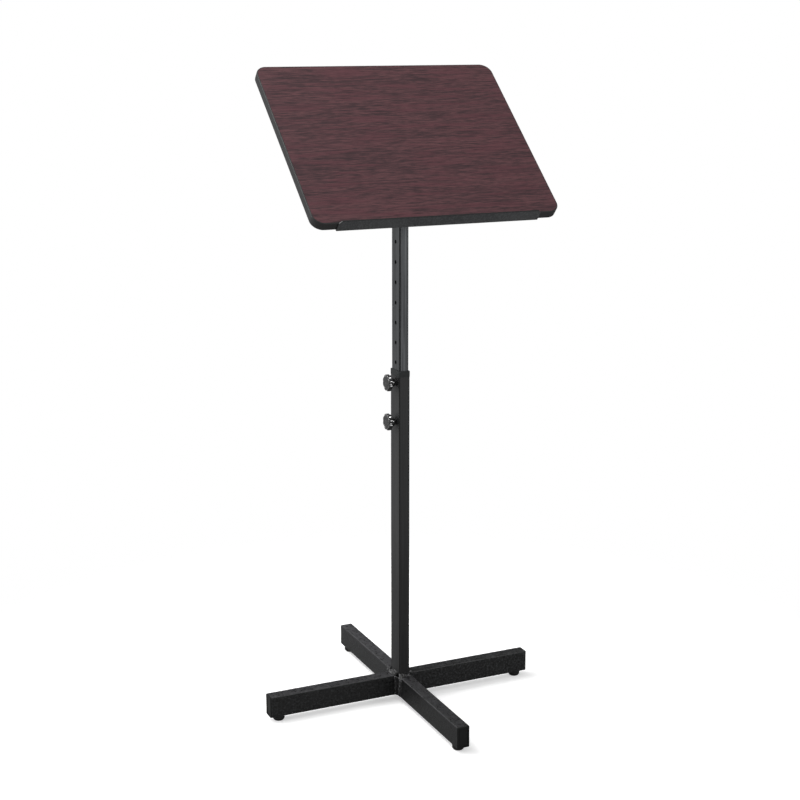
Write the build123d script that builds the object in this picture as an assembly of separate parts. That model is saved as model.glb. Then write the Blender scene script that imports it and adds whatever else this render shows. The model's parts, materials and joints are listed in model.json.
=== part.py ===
"""Presentation lectern: a cross base, a telescoping post and a tilting reading desk.

Frame: the origin is on the floor under the post, +Z is up, the reader stands on the -Y side and
+X is to the reader's right.  Everything is in millimetres and degrees.
"""
from build123d import *
import os
from math import cos, radians, sin

# ---------------------------------------------------------------- driving dimensions
# cross base
BASE_SPAN = 533.4            # over the end caps, both ways: 21 in
LEG_WIDTH = 24.0
LEG_HEIGHT = 40.0
LEG_WALL = 1.5
LEG_CORNER = 1.5
CAP_FLANGE = 2.5             # end cap outside the tube
CAP_DEPTH = 12.0             # end cap inside the tube
CAP_WALL = 1.8
GLIDE_HEIGHT = 10.2
GLIDE_RADIUS = 11.0
GLIDE_INSET = 20.0           # glide centre to the outside of the end cap
GLIDE_STEM_RADIUS = 3.9
SIDE_WELD_X, SIDE_WELD_Y, SIDE_WELD_RADIUS = 13.4, 12.2, 4.9    # upright bead at a side leg's end
END_WELD_X, END_WELD_Y, END_WELD_SIZE = 11.4, 24.6, (3.5, 7.9)  # broad upright bead at an end leg's end
WELD_POCKET = 2.5            # metal over the post between the two beads
FOOT_WELD_REACH, FOOT_WELD_RISE = 8.5, 4.8    # level bead on top of each leg

# telescoping post
OUTER_X, OUTER_Y = 21.0, 38.2
OUTER_WALL = 1.2
OUTER_CORNER = 1.6
OUTER_TOP = 637.2
COLLAR_PLATE = 1.8
COLLAR_SKIRT = 9.0
COLLAR_WALL = 0.6
INNER_X, INNER_Y = 17.8, 34.4
INNER_WALL = 1.2
INNER_CORNER = 1.8
INNER_BOTTOM = 410.0
SLIDE_GAP = 0.2              # collar opening to the inner post, each side

# row of adjusting holes in the inner post, and the two screw knobs that enter it
HOLE_PITCH = 36.6
HOLE_RADIUS = 3.6
FIRST_VISIBLE_HOLE = 652.8   # the first hole above the collar at rest
HOLES_BELOW, HOLES_ABOVE = 6, 7
KNOB_HOLE_STEPS = {"upper": -1, "lower": -3}

# reading desk
DESK_TILT = 41.2
TILT_FLAT, TILT_STEEP = 0.0, 45.0
PIVOT_Z = 1020.5
PIVOT_DROP = 30.0            # pivot axis to the underside of the desk
DESK_WIDTH, DESK_DEPTH = 460.0, 370.0
DESK_CORNER = 21.0
CORE_THICKNESS = 15.0
LAMINATE_THICKNESS = 0.7
BACKER_THICKNESS = 0.5
BAND_WIDTH = 2.0
BAND_ROUND = 1.5
TONGUE_DEPTH = 8.0           # barbed tongue of the edge band, pressed into the kerf of the core
TONGUE_THICKNESS = 1.8
STOP_LENGTH = 376.0
STOP_THICKNESS = 2.2
STOP_FLANGE = 27.0
STOP_RISE = 6.0              # above the desk surface
STOP_CHAMFER = 5.5

# tilt bracket under the desk
PLATE_X, PLATE_Y, PLATE_THICKNESS = 190.0, 120.0, 2.5
PLATE_SCREW_X, PLATE_SCREW_Y = 82.0, 47.0
BRACKET_WALL = 2.5
EAR_INSIDE = 10.2            # inside face of each ear from the middle
EAR_FRONT, EAR_REAR = -40.0, 26.0
LOCK_RADIUS = 38.0           # lock bolt below the pivot
WASHER_GAP = 0.15

# hardware
PIVOT_RADIUS = 4.0           # M8
LOCK_BOLT_RADIUS = 3.0       # M6
KNOB_RADIUS = 15.6
KNOB_HEAD = 8.5
KNOB_HUB_RADIUS = 8.5
KNOB_HUB = 6.0
KNOB_LOBES = 8
KNOB_STAND_OFF = 3.5         # hub to the outer post while the screw is just out of the holes
STUD_RADIUS = 3.0            # M6 x 1
NUT_HEIGHT = 4.0
NUT_ACROSS = 11.0
KNOB_WASHER = 1.2
SCREW_RADIUS = 2.0
SCREW_HEAD_RADIUS = 4.2
SCREW_HEAD = 2.2
SCREW_DEPTH = 11.0

# ---------------------------------------------------------------- derived places
LEG_BOTTOM = GLIDE_HEIGHT
LEG_TOP = LEG_BOTTOM + LEG_HEIGHT
LEG_MIDDLE = (LEG_BOTTOM + LEG_TOP) / 2
LEG_REACH = BASE_SPAN / 2 - CAP_FLANGE
GLIDE_REACH = BASE_SPAN / 2 - GLIDE_INSET
COLLAR_TOP = OUTER_TOP + COLLAR_PLATE
INNER_TOP = PIVOT_Z + 11.0
POST_FACE = -OUTER_X / 2     # the side with the knobs
KNOB_Z = {name: FIRST_VISIBLE_HOLE + step * HOLE_PITCH for name, step in KNOB_HOLE_STEPS.items()}
HOLE_Z = [FIRST_VISIBLE_HOLE + i * HOLE_PITCH for i in range(-HOLES_BELOW, HOLES_ABOVE + 1)]
LOCK_Z = PIVOT_Z - LOCK_RADIUS
DESK_THICKNESS = CORE_THICKNESS + LAMINATE_THICKNESS + BACKER_THICKNESS
DESK_TOP = PIVOT_DROP + DESK_THICKNESS
CORE_BOTTOM = PIVOT_DROP + BACKER_THICKNESS
CORE_MIDDLE = CORE_BOTTOM + CORE_THICKNESS / 2
EAR_OUTSIDE = EAR_INSIDE + BRACKET_WALL
STOP_BOTTOM = PIVOT_DROP - STOP_THICKNESS
STOP_FRONT = -DESK_DEPTH / 2 - STOP_THICKNESS
SIDES = {"front": 0, "right": 90, "rear": 180, "left": 270}   # turn about Z from the -Y side

# the desk is drawn flat with the pivot at the origin, and then tilted and lifted into place
DESK_PLACE = Pos(0, 0, PIVOT_Z) * Rot(X=DESK_TILT)


# ---------------------------------------------------------------- helpers
def rounded_block(x, y, height, corner, bottom=0.0):
    """A block with rounded upright edges that stands on z = bottom."""
    return Pos(0, 0, bottom) * extrude(RectangleRounded(x, y, corner), height)


def rect_tube(x, y, length, wall, corner):
    """A rectangular tube along +Z from z = 0."""
    inside = rounded_block(x - 2 * wall, y - 2 * wall, length, max(corner - wall, 0.4))
    return rounded_block(x, y, length, corner) - inside


def rod(radius, start, end):
    """A round rod along Z between two heights."""
    return Pos(0, 0, start) * Cylinder(radius, end - start, align=(Align.CENTER, Align.CENTER, Align.MIN))


def hexagon(across, start, end):
    """A hexagonal prism along Z between two heights, given its size across the flats."""
    return Pos(0, 0, start) * extrude(RegularPolygon(across / 2, 6, major_radius=False), end - start)


def along_x(shape, x=0.0, z=0.0):
    """Turn a shape drawn along +Z so that it runs along +X through (x, 0, z)."""
    return Pos(x, 0, z) * Rot(Y=90) * shape


def outward(shape, x, z):
    """Turn a shape drawn along +Z so that it points out of the knob side, along -X."""
    return Pos(x, 0, z) * Rot(Y=-90) * shape


def ring(outer, inner, start, end):
    """A washer along Z between two heights."""
    return rod(outer, start, end) - rod(inner, start, end)


def wood_screw(head_bottom):
    """A pan-head screw that points up, with the underside of its head on z = head_bottom + SCREW_HEAD."""
    head = rod(SCREW_HEAD_RADIUS, head_bottom, head_bottom + SCREW_HEAD)
    head = fillet(head.edges().group_by(Axis.Z)[0], 1.2)
    shank = rod(SCREW_RADIUS, head_bottom + SCREW_HEAD, CORE_BOTTOM + SCREW_DEPTH)
    recess = Pos(0, 0, head_bottom) * (Box(3.6, 0.9, 2.4) + Box(0.9, 3.6, 2.4))
    return head + shank - recess


# ---------------------------------------------------------------- cross base
def glide_hole(y):
    """The round hole for a glide in the underside of a leg."""
    return Pos(0, y, 0) * rod(GLIDE_STEM_RADIUS + 0.1, LEG_BOTTOM - 1, LEG_BOTTOM + 2 * LEG_WALL)


def leg(start):
    """The front leg, from the face of the post to its end cap, with the glide's hole in its underside."""
    tube = rect_tube(LEG_WIDTH, LEG_HEIGHT, LEG_REACH - start, LEG_WALL, LEG_CORNER)
    tube = Pos(0, -start, LEG_MIDDLE) * Rot(X=90) * tube
    return tube - glide_hole(-GLIDE_REACH)


def end_cap():
    """A push-in plug for the front leg: a recessed face outside and a hollow box inside the tube."""
    face = rounded_block(LEG_WIDTH, LEG_HEIGHT, CAP_FLANGE, LEG_CORNER)
    face = fillet(face.edges().group_by(Axis.Z)[-1], 0.6)
    face -= rounded_block(LEG_WIDTH - 6, LEG_HEIGHT - 6, 1.0, 1.5, bottom=CAP_FLANGE - 0.9)
    clear = 2 * LEG_WALL + 0.2
    box = rect_tube(LEG_WIDTH - clear, LEG_HEIGHT - clear, CAP_DEPTH, CAP_WALL, 1.0)
    return Pos(0, -LEG_REACH, LEG_MIDDLE) * Rot(X=90) * (face + Pos(0, 0, -CAP_DEPTH) * box)


def glide():
    """A domed push-in glide under the front leg, with a snap head above the tube wall."""
    flat, belly = 6.5, 6.0
    profile = Polyline((0, GLIDE_HEIGHT), (0, 0), (flat, 0))
    dome = RadiusArc((flat, 0), (GLIDE_RADIUS, belly), -6.6)
    side = Polyline((GLIDE_RADIUS, belly), (GLIDE_RADIUS - 0.4, GLIDE_HEIGHT), (0, GLIDE_HEIGHT))
    pad = revolve(Plane.XZ * make_face(profile + dome + side), Axis.Z)
    stem = rod(GLIDE_STEM_RADIUS, GLIDE_HEIGHT, GLIDE_HEIGHT + 9)
    barb_bottom = GLIDE_HEIGHT + LEG_WALL + 0.2
    barb = Pos(0, 0, barb_bottom) * Cone(4.7, 3.2, 5, align=(Align.CENTER, Align.CENTER, Align.MIN))
    return Pos(0, -GLIDE_REACH, 0) * (pad + stem + barb)


def weld_bead(reach, rise, length):
    """A quarter-ellipse bead along +Z from z = 0, in the corner between the planes x = 0 and y = 0."""
    quarter = Ellipse(reach, rise) & Pos(reach, rise) * Rectangle(2 * reach, 2 * rise)
    return extrude(quarter, length)


def crossing_welds():
    """Two upright beads, run together, in each of the four corners between a side leg and an end leg."""
    beads = Pos(SIDE_WELD_X, SIDE_WELD_Y) * Circle(SIDE_WELD_RADIUS)
    beads += Pos(END_WELD_X, END_WELD_Y) * Ellipse(*END_WELD_SIZE)
    beads += Pos(OUTER_X / 2, OUTER_Y / 2 - 3) * Rectangle(2 * WELD_POCKET, 8)
    post = RectangleRounded(OUTER_X, OUTER_Y, OUTER_CORNER)
    side_leg = Rectangle(4 * OUTER_Y, LEG_WIDTH)
    end_leg = Pos(0, 2 * OUTER_Y) * Rectangle(LEG_WIDTH, 3 * OUTER_Y)
    section = beads - post - side_leg - end_leg
    corner = Pos(0, 0, LEG_BOTTOM + LEG_CORNER) * extrude(section, LEG_HEIGHT - 2 * LEG_CORNER)
    pair = [corner, mirror(corner, Plane.YZ)]
    return Compound(pair + [mirror(bead, Plane.XZ) for bead in pair])


def post_foot_welds():
    """Four level beads on top of the legs, against the faces of the post."""
    width = LEG_WIDTH - 2 * LEG_CORNER
    beads = []
    for side, turn in SIDES.items():
        distance = OUTER_Y / 2 if side in ("front", "rear") else OUTER_X / 2
        place = Plane((width / 2, -distance, LEG_TOP), x_dir=(0, -1, 0), z_dir=(-1, 0, 0))
        beads.append(Rot(Z=turn) * (place.location * weld_bead(FOOT_WELD_REACH, FOOT_WELD_RISE, width)))
    return Compound(beads)


# ---------------------------------------------------------------- telescoping post
def outer_post():
    """The fixed tube, which stands between the four legs, with a clearance hole behind each weld nut."""
    tube = rect_tube(OUTER_X, OUTER_Y, OUTER_TOP - LEG_BOTTOM, OUTER_WALL, OUTER_CORNER)
    tube = Pos(0, 0, LEG_BOTTOM) * tube
    for z in KNOB_Z.values():
        tube -= outward(rod(STUD_RADIUS + 0.3, -2 * OUTER_WALL, 1), POST_FACE, z)
    return tube


def guide_collar():
    """The plastic guide over the mouth of the outer post, which the inner post runs through."""
    x, y = OUTER_X + 2 * COLLAR_WALL, OUTER_Y + 2 * COLLAR_WALL
    body = rounded_block(x, y, COLLAR_SKIRT + COLLAR_PLATE, OUTER_CORNER + COLLAR_WALL)
    body = fillet(body.edges().group_by(Axis.Z)[-1], 0.5)
    body -= rounded_block(OUTER_X, OUTER_Y, COLLAR_SKIRT, OUTER_CORNER)
    body -= rounded_block(INNER_X + 2 * SLIDE_GAP, INNER_Y + 2 * SLIDE_GAP, 30, INNER_CORNER + SLIDE_GAP)
    return Pos(0, 0, OUTER_TOP - COLLAR_SKIRT) * body


def weld_nut(z):
    """A hexagonal weld nut on the outer post for one screw knob."""
    nut = hexagon(NUT_ACROSS, 0, NUT_HEIGHT) - rod(STUD_RADIUS + 0.05, -1, NUT_HEIGHT + 1)
    return outward(nut, POST_FACE, z)


def inner_post():
    """The sliding tube, with its row of adjusting holes on the knob side."""
    tube = rect_tube(INNER_X, INNER_Y, INNER_TOP - INNER_BOTTOM, INNER_WALL, INNER_CORNER)
    tube = Pos(0, 0, INNER_BOTTOM) * tube
    for z in HOLE_Z:
        tube -= outward(rod(HOLE_RADIUS, -2 * INNER_WALL, 1), -INNER_X / 2, z)
    tube -= along_x(rod(PIVOT_RADIUS + 0.1, -INNER_X, INNER_X), z=PIVOT_Z)
    tube -= along_x(rod(LOCK_BOLT_RADIUS + 0.1, -INNER_X, INNER_X), z=LOCK_Z)
    return tube


def post_top_cap():
    """A thin plastic plug in the top of the inner post, clear of the pivot bolt."""
    clear = 2 * INNER_WALL + 0.2
    lid = rounded_block(INNER_X, INNER_Y, 1.5, INNER_CORNER)
    plug = rounded_block(INNER_X - clear, INNER_Y - clear, 5.0, 1.0, bottom=-5.0)
    return Pos(0, 0, INNER_TOP) * (lid + plug)


def slider_plug():
    """The plastic foot of the inner post, which keeps it central in the outer post."""
    clear = 2 * INNER_WALL + 0.2
    bore_clear = 2 * OUTER_WALL + 0.3
    shoe = rounded_block(OUTER_X - bore_clear, OUTER_Y - bore_clear, 4.0, 1.2, bottom=-4.0)
    plug = rounded_block(INNER_X - clear, INNER_Y - clear, 16.0, 1.0)
    return Pos(0, 0, INNER_BOTTOM) * (shoe + plug)


def pivot_bolt():
    """The hex bolt that the desk tilts on: head on the knob side, nut on the other."""
    outside = EAR_OUTSIDE + WASHER_GAP + 1.5
    shank = rod(PIVOT_RADIUS, -outside, outside + 10)
    head = hexagon(13, -outside - 5.3, -outside)
    return along_x(shank + head, z=PIVOT_Z)


def pivot_nut():
    """The locking nut of the pivot bolt."""
    outside = EAR_OUTSIDE + WASHER_GAP + 1.5
    nut = hexagon(13, outside, outside + 8) - rod(PIVOT_RADIUS, outside - 1, outside + 9)
    return along_x(nut, z=PIVOT_Z)


def pivot_washers():
    """Two steel washers outside the ears of the bracket."""
    start = EAR_OUTSIDE + WASHER_GAP
    washers = [ring(8.0, PIVOT_RADIUS, side, side + 1.5) for side in (start, -start - 1.5)]
    return Compound([along_x(washer, z=PIVOT_Z) for washer in washers])


def friction_washers():
    """Two nylon washers between the inner post and the ears of the bracket."""
    start = INNER_X / 2
    thick = EAR_INSIDE - WASHER_GAP - start
    washers = [ring(9.5, PIVOT_RADIUS, side, side + thick) for side in (start, -start - thick)]
    return Compound([along_x(washer, z=PIVOT_Z) for washer in washers])


def tilt_lock_bolt():
    """The bolt through the curved slots; its head and washer face are on the far side from the knob."""
    washer_start = EAR_OUTSIDE + WASHER_GAP
    head_start = washer_start + 1.2
    shank = rod(LOCK_BOLT_RADIUS, -EAR_OUTSIDE - 12.5, head_start)
    collar = rod(7.0, washer_start, head_start)
    return along_x(shank + collar + hexagon(10, head_start, head_start + 4), z=LOCK_Z)


# ---------------------------------------------------------------- screw knobs
def knob_body():
    """A fluted knob along +Z: the hub stands on z = 0 and the wide head is above it."""
    blank = Circle(KNOB_RADIUS)
    flute = Circle(3.4)
    for i in range(KNOB_LOBES):
        blank -= Rot(Z=i * 360 / KNOB_LOBES) * Pos(KNOB_RADIUS + 1.7, 0) * flute
    head = Pos(0, 0, KNOB_HUB) * extrude(blank, KNOB_HEAD)
    return rod(KNOB_HUB_RADIUS, 0, KNOB_HUB) + head


def height_knob_head(z):
    """The plastic head of one height knob; its hub is hollow and passes over the weld nut."""
    head = knob_body() - rod(7.2, -1, 5.0) - rod(STUD_RADIUS, 0, KNOB_HUB + KNOB_HEAD - 2.5)
    return outward(head, POST_FACE - KNOB_STAND_OFF, z)


def height_knob_stud(z):
    """The steel screw moulded into a height knob; its tip is just clear of the inner post."""
    tip = -KNOB_STAND_OFF - (OUTER_X - INNER_X) / 2 + 0.3
    stud = rod(STUD_RADIUS, tip, KNOB_HUB + KNOB_HEAD - 2.5)
    stud = chamfer(stud.edges().group_by(Axis.Z)[0], 0.6)
    return outward(stud, POST_FACE - KNOB_STAND_OFF, z)


def height_knob_washer(z):
    """The loose washer in the hub of a height knob: it travels with the knob but doesn't turn."""
    return outward(ring(6.8, STUD_RADIUS + 0.1, 3.75, 3.75 + KNOB_WASHER), POST_FACE - KNOB_STAND_OFF, z)


def tilt_knob_head():
    """The plastic head of the tilt knob, with a pocket for its threaded insert."""
    pocket = rod(5.0, -1, 10) + rod(LOCK_BOLT_RADIUS + 0.4, 9, 12.5)
    return outward(knob_body() - pocket, -EAR_OUTSIDE - 0.3 - KNOB_WASHER, LOCK_Z)


def tilt_knob_insert():
    """The brass thread insert of the tilt knob."""
    return outward(ring(5.0, LOCK_BOLT_RADIUS + 0.05, 0, 10), -EAR_OUTSIDE - 0.3 - KNOB_WASHER, LOCK_Z)


def tilt_knob_washer():
    """The washer between the tilt knob and the bracket's ear."""
    washer = ring(8.0, LOCK_BOLT_RADIUS + 0.1, 0.05, KNOB_WASHER)
    return along_x(washer, x=-EAR_OUTSIDE - 0.3 - KNOB_WASHER, z=LOCK_Z)


# ---------------------------------------------------------------- reading desk, drawn flat at the pivot
def desk_outline(inset):
    """The desk's rounded outline, moved in by a distance."""
    return RectangleRounded(DESK_WIDTH - 2 * inset, DESK_DEPTH - 2 * inset, DESK_CORNER - inset)


def desk_core():
    """The particle board, with the kerf for the edge band and pilot holes for every screw."""
    board = Pos(0, 0, CORE_BOTTOM) * extrude(desk_outline(BAND_WIDTH), CORE_THICKNESS)
    kerf = desk_outline(BAND_WIDTH) - desk_outline(BAND_WIDTH + TONGUE_DEPTH + 0.3)
    board -= Pos(0, 0, CORE_MIDDLE) * extrude(kerf, (TONGUE_THICKNESS + 0.1) / 2, both=True)
    for x, y in plate_screw_points() + stop_screw_points():
        board -= Pos(x, y, 0) * rod(SCREW_RADIUS, CORE_BOTTOM - 1, CORE_BOTTOM + SCREW_DEPTH + 1)
    return board


def desk_laminate():
    """The wood-grain laminate on the reading side."""
    return Pos(0, 0, DESK_TOP - LAMINATE_THICKNESS) * extrude(desk_outline(BAND_WIDTH), LAMINATE_THICKNESS)


def desk_backer():
    """The balancing sheet on the underside, pierced for the screws."""
    sheet = Pos(0, 0, PIVOT_DROP) * extrude(desk_outline(BAND_WIDTH), BACKER_THICKNESS)
    for x, y in plate_screw_points() + stop_screw_points():
        sheet -= Pos(x, y, 0) * rod(SCREW_RADIUS, PIVOT_DROP - 1, CORE_BOTTOM + 1)
    return sheet


def edge_band():
    """The T-section band round the desk: a rounded face and a tongue that fills the kerf."""
    band = Pos(0, 0, PIVOT_DROP) * extrude(desk_outline(0), DESK_THICKNESS)
    band = fillet(band.edges().group_by(Axis.Z)[0] + band.edges().group_by(Axis.Z)[-1], BAND_ROUND)
    band -= Pos(0, 0, PIVOT_DROP - 1) * extrude(desk_outline(BAND_WIDTH), DESK_THICKNESS + 2)
    tongue = desk_outline(BAND_WIDTH - 0.5) - desk_outline(BAND_WIDTH + TONGUE_DEPTH)
    return band + Pos(0, 0, CORE_MIDDLE) * extrude(tongue, TONGUE_THICKNESS / 2, both=True)


def stop_screw_points():
    """Four screws in a row under the book stop."""
    y = STOP_FRONT + STOP_FLANGE - 9
    return [(x * STOP_LENGTH / 2, y) for x in (-0.85, -0.28, 0.28, 0.85)]


def book_stop():
    """The bent steel strip on the front edge: a flange under the desk and a lip above its surface."""
    height = DESK_TOP + STOP_RISE - STOP_BOTTOM
    lip = Box(STOP_LENGTH, STOP_THICKNESS, height, align=(Align.CENTER, Align.MIN, Align.MIN))
    lip = chamfer(lip.edges().filter_by(Axis.Y).group_by(Axis.Z)[-1], STOP_CHAMFER)
    flange = Box(STOP_LENGTH, STOP_FLANGE, STOP_THICKNESS, align=(Align.CENTER, Align.MIN, Align.MIN))
    strip = Pos(0, STOP_FRONT, STOP_BOTTOM) * (lip + flange)
    bend = strip.edges().filter_by(Axis.X).group_by(Axis.Z)[0].sort_by(Axis.Y)[0]
    strip = fillet(bend, 2.0)
    for x, y in stop_screw_points():
        strip -= Pos(x, y, 0) * rod(SCREW_RADIUS, STOP_BOTTOM - 1, PIVOT_DROP + 1)
    return strip


def screws(points, seat):
    """A group of identical screws whose heads bear on z = seat."""
    return Compound([Pos(x, y, 0) * wood_screw(seat - SCREW_HEAD) for x, y in points])


def plate_screw_points():
    """Six screws, three along each end of the mounting plate."""
    return [(x, y) for x in (-PLATE_SCREW_X, PLATE_SCREW_X) for y in (-PLATE_SCREW_Y, 0, PLATE_SCREW_Y)]


def mount_plate():
    """The flat steel plate screwed to the underside, which carries the tilt bracket."""
    bottom = PIVOT_DROP - PLATE_THICKNESS
    plate = rounded_block(PLATE_X, PLATE_Y, PLATE_THICKNESS, 10, bottom=bottom)
    for x, y in plate_screw_points():
        plate -= Pos(x, y, 0) * rod(SCREW_RADIUS, bottom - 1, PIVOT_DROP + 1)
    return plate


def ear_outline():
    """One ear, seen along +X: from the web down round the pivot and the curved slot."""
    web_top = PIVOT_DROP - PLATE_THICKNESS
    rounds = Circle(14)
    for tilt in range(int(TILT_FLAT), int(TILT_STEEP) + 1, 5):
        turn = radians(tilt)
        rounds += Pos(-LOCK_RADIUS * sin(turn), -LOCK_RADIUS * cos(turn)) * Circle(9.5)
    low = web_top - 8
    shoulder = Polyline((EAR_FRONT, low), (EAR_FRONT, web_top), (EAR_REAR, web_top), (EAR_REAR, low))
    hull = make_hull(rounds.edges() + shoulder.edges())
    margin = 1.5
    path = CenterArc((0, 0), LOCK_RADIUS, -90 - TILT_STEEP - margin, TILT_STEEP - TILT_FLAT + 2 * margin)
    slot = SlotArc(path, 2 * LOCK_BOLT_RADIUS + 0.6)
    return Sketch() + hull - slot - Circle(PIVOT_RADIUS + 0.06)


def tilt_bracket():
    """The folded channel: a web against the plate and two ears with the pivot holes and slots."""
    ear = extrude(Plane.YZ * ear_outline(), BRACKET_WALL)
    web_bottom = PIVOT_DROP - PLATE_THICKNESS - BRACKET_WALL
    web = Box(2 * EAR_OUTSIDE, EAR_REAR - EAR_FRONT, BRACKET_WALL, align=(Align.CENTER, Align.MIN, Align.MIN))
    web = Pos(0, EAR_FRONT, web_bottom) * web
    return Pos(EAR_INSIDE, 0, 0) * ear + Pos(-EAR_OUTSIDE, 0, 0) * ear + web


def bracket_welds():
    """Two fillet welds along the foot of the bracket, against the plate."""
    bottom = PIVOT_DROP - PLATE_THICKNESS
    size = 3.0
    corner = Polyline((0, 0), (size, 0), (0, -size), (0, 0))
    bead = extrude(Plane.XZ * make_face(corner), (EAR_REAR - EAR_FRONT - 16) / 2, both=True)
    right = Pos(EAR_OUTSIDE, (EAR_FRONT + EAR_REAR) / 2, bottom) * bead
    return Compound([right, mirror(right, Plane.YZ)])


# ---------------------------------------------------------------- assembly
def base_nodes():
    """Every fixed piece: the outer post, and the legs welded to it with their caps and glides."""
    nodes = {}
    for side, turn in SIDES.items():
        start = OUTER_Y / 2 if side in ("front", "rear") else OUTER_X / 2
        nodes[f"{side}_leg"] = Rot(Z=turn) * leg(start)
        nodes[f"{side}_end_cap"] = Rot(Z=turn) * end_cap()
        nodes[f"{side}_glide"] = Rot(Z=turn) * glide()
    nodes["crossing_welds"] = crossing_welds()
    nodes["post_foot_welds"] = post_foot_welds()
    nodes["outer_post"] = outer_post()
    nodes["guide_collar"] = guide_collar()
    for name, z in KNOB_Z.items():
        nodes[f"{name}_weld_nut"] = weld_nut(z)
    return nodes


def knob_nodes():
    """The three screw knobs: two that pin the height and one that clamps the tilt."""
    nodes = {}
    for name, z in KNOB_Z.items():
        nodes[f"{name}_knob_head"] = height_knob_head(z)
        nodes[f"{name}_knob_stud"] = height_knob_stud(z)
        nodes[f"{name}_knob_washer"] = height_knob_washer(z)
    nodes["tilt_knob_head"] = tilt_knob_head()
    nodes["tilt_knob_insert"] = tilt_knob_insert()
    nodes["tilt_knob_washer"] = tilt_knob_washer()
    return nodes


def mast_nodes():
    """Everything that goes up and down with the inner post, except the desk."""
    return {
        "inner_post": inner_post(),
        "post_top_cap": post_top_cap(),
        "slider_plug": slider_plug(),
        "pivot_bolt": pivot_bolt(),
        "pivot_nut": pivot_nut(),
        "pivot_washers": pivot_washers(),
        "friction_washers": friction_washers(),
        "tilt_lock_bolt": tilt_lock_bolt(),
    }


def desk_nodes():
    """Everything that tilts, moved from the flat drawing to its place."""
    flat = {
        "desk_core": desk_core(),
        "desk_laminate": desk_laminate(),
        "desk_backer": desk_backer(),
        "edge_band": edge_band(),
        "book_stop": book_stop(),
        "book_stop_screws": screws(stop_screw_points(), STOP_BOTTOM),
        "mount_plate": mount_plate(),
        "plate_screws": screws(plate_screw_points(), PIVOT_DROP - PLATE_THICKNESS),
        "tilt_bracket": tilt_bracket(),
        "bracket_welds": bracket_welds(),
    }
    return {name: DESK_PLACE * shape for name, shape in flat.items()}


os.makedirs("parts", exist_ok=True)
for name, shape in {**base_nodes(), **knob_nodes(), **mast_nodes(), **desk_nodes()}.items():
    shape.label = name
    export_step(shape, f"parts/{name}.step")
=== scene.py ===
"""Presentation lectern: the finished look of a cross base, a telescoping post and a tilting desk.

The frame is in metres, with the floor at z = 0, the post on the Z axis and the reader on the -Y side.
Lengths that a maker would call in millimetres are written in millimetres times MM.
"""
import json
import math

import bpy
import numpy as np
from bpy.props import FloatProperty, FloatVectorProperty, IntProperty, PointerProperty
from bpy.types import Operator, Panel, PropertyGroup
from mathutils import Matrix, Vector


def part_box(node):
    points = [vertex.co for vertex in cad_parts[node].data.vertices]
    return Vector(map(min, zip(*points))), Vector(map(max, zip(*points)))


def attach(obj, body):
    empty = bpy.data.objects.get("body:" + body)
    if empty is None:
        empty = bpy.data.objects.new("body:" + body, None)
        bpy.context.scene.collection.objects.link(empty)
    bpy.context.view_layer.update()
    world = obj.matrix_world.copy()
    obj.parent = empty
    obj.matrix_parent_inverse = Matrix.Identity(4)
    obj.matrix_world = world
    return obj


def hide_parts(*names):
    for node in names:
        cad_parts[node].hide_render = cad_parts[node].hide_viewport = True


bl_info = {
    "name": "Presentation Lectern",
    "version": (1, 0, 0),
    "blender": (4, 5, 0),
    "location": "View3D > Sidebar > Lectern",
    "description": "Builds the finished surfaces and materials of a height-adjustable lectern",
    "category": "Object",
}

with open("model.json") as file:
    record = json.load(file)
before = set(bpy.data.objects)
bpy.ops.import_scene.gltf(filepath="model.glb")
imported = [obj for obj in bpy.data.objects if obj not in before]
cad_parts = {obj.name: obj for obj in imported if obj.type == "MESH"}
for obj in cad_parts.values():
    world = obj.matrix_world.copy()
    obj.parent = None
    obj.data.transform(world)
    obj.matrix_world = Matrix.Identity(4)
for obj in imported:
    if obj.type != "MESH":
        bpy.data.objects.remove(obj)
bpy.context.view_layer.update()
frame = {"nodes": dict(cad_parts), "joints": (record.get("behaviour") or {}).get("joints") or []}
NODES = frame["nodes"]
MM = 0.001

SIDES = {"front": 0.0, "right": 90.0, "rear": 180.0, "left": 270.0}   # turn about Z from the -Y side
KNOBS = ("upper_knob", "lower_knob", "tilt_knob")
TILT_JOINT = next(joint for joint in frame["joints"] if joint["name"] == "desk_tilt")
PIVOT = np.array(TILT_JOINT["pos_m"], float)
DESK_TILT = -math.radians(TILT_JOINT["range_deg"][0])    # the desk is flat at the joint's lower limit
TILT_COS, TILT_SIN = math.cos(DESK_TILT), math.sin(DESK_TILT)


def span(node, axis):
    """Lowest and highest place of a CAD node along one axis."""
    low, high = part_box(node)
    return low[axis], high[axis]


# ------------------------------------------------------------------ places taken from the frame
LEG_LOW, LEG_HIGH = span("rear_leg", 2)
LEG_HALF = span("rear_leg", 0)[1]
LEG_REACH = span("rear_leg", 1)[1]
CAP_REACH = span("rear_end_cap", 1)[1]
GLIDE_REACH = sum(span("rear_glide", 1)) / 2
POST_HALF_X, POST_HALF_Y = span("outer_post", 0)[1], span("outer_post", 1)[1]
POST_TOP = span("outer_post", 2)[1]
MAST_HALF_X, MAST_HALF_Y = span("inner_post", 0)[1], span("inner_post", 1)[1]
DESK_HALF_X = span("edge_band", 0)[1]
STOP_HALF_X = span("book_stop", 0)[1]
EAR_OUTSIDE = span("tilt_bracket", 0)[1]

# ------------------------------------------------------------------ the desk, measured flat about the pivot
DESK_HALF_Y = 185.0 * MM
DESK_CORNER = 21.0 * MM
DESK_BOTTOM, DESK_TOP = 30.0 * MM, 46.2 * MM
STOP_THICK, STOP_FLANGE = 2.2 * MM, 27.0 * MM
STOP_RISE, STOP_CUT = 6.0 * MM, 5.5 * MM        # lip above the desk, and how much of its ends is cut off

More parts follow.
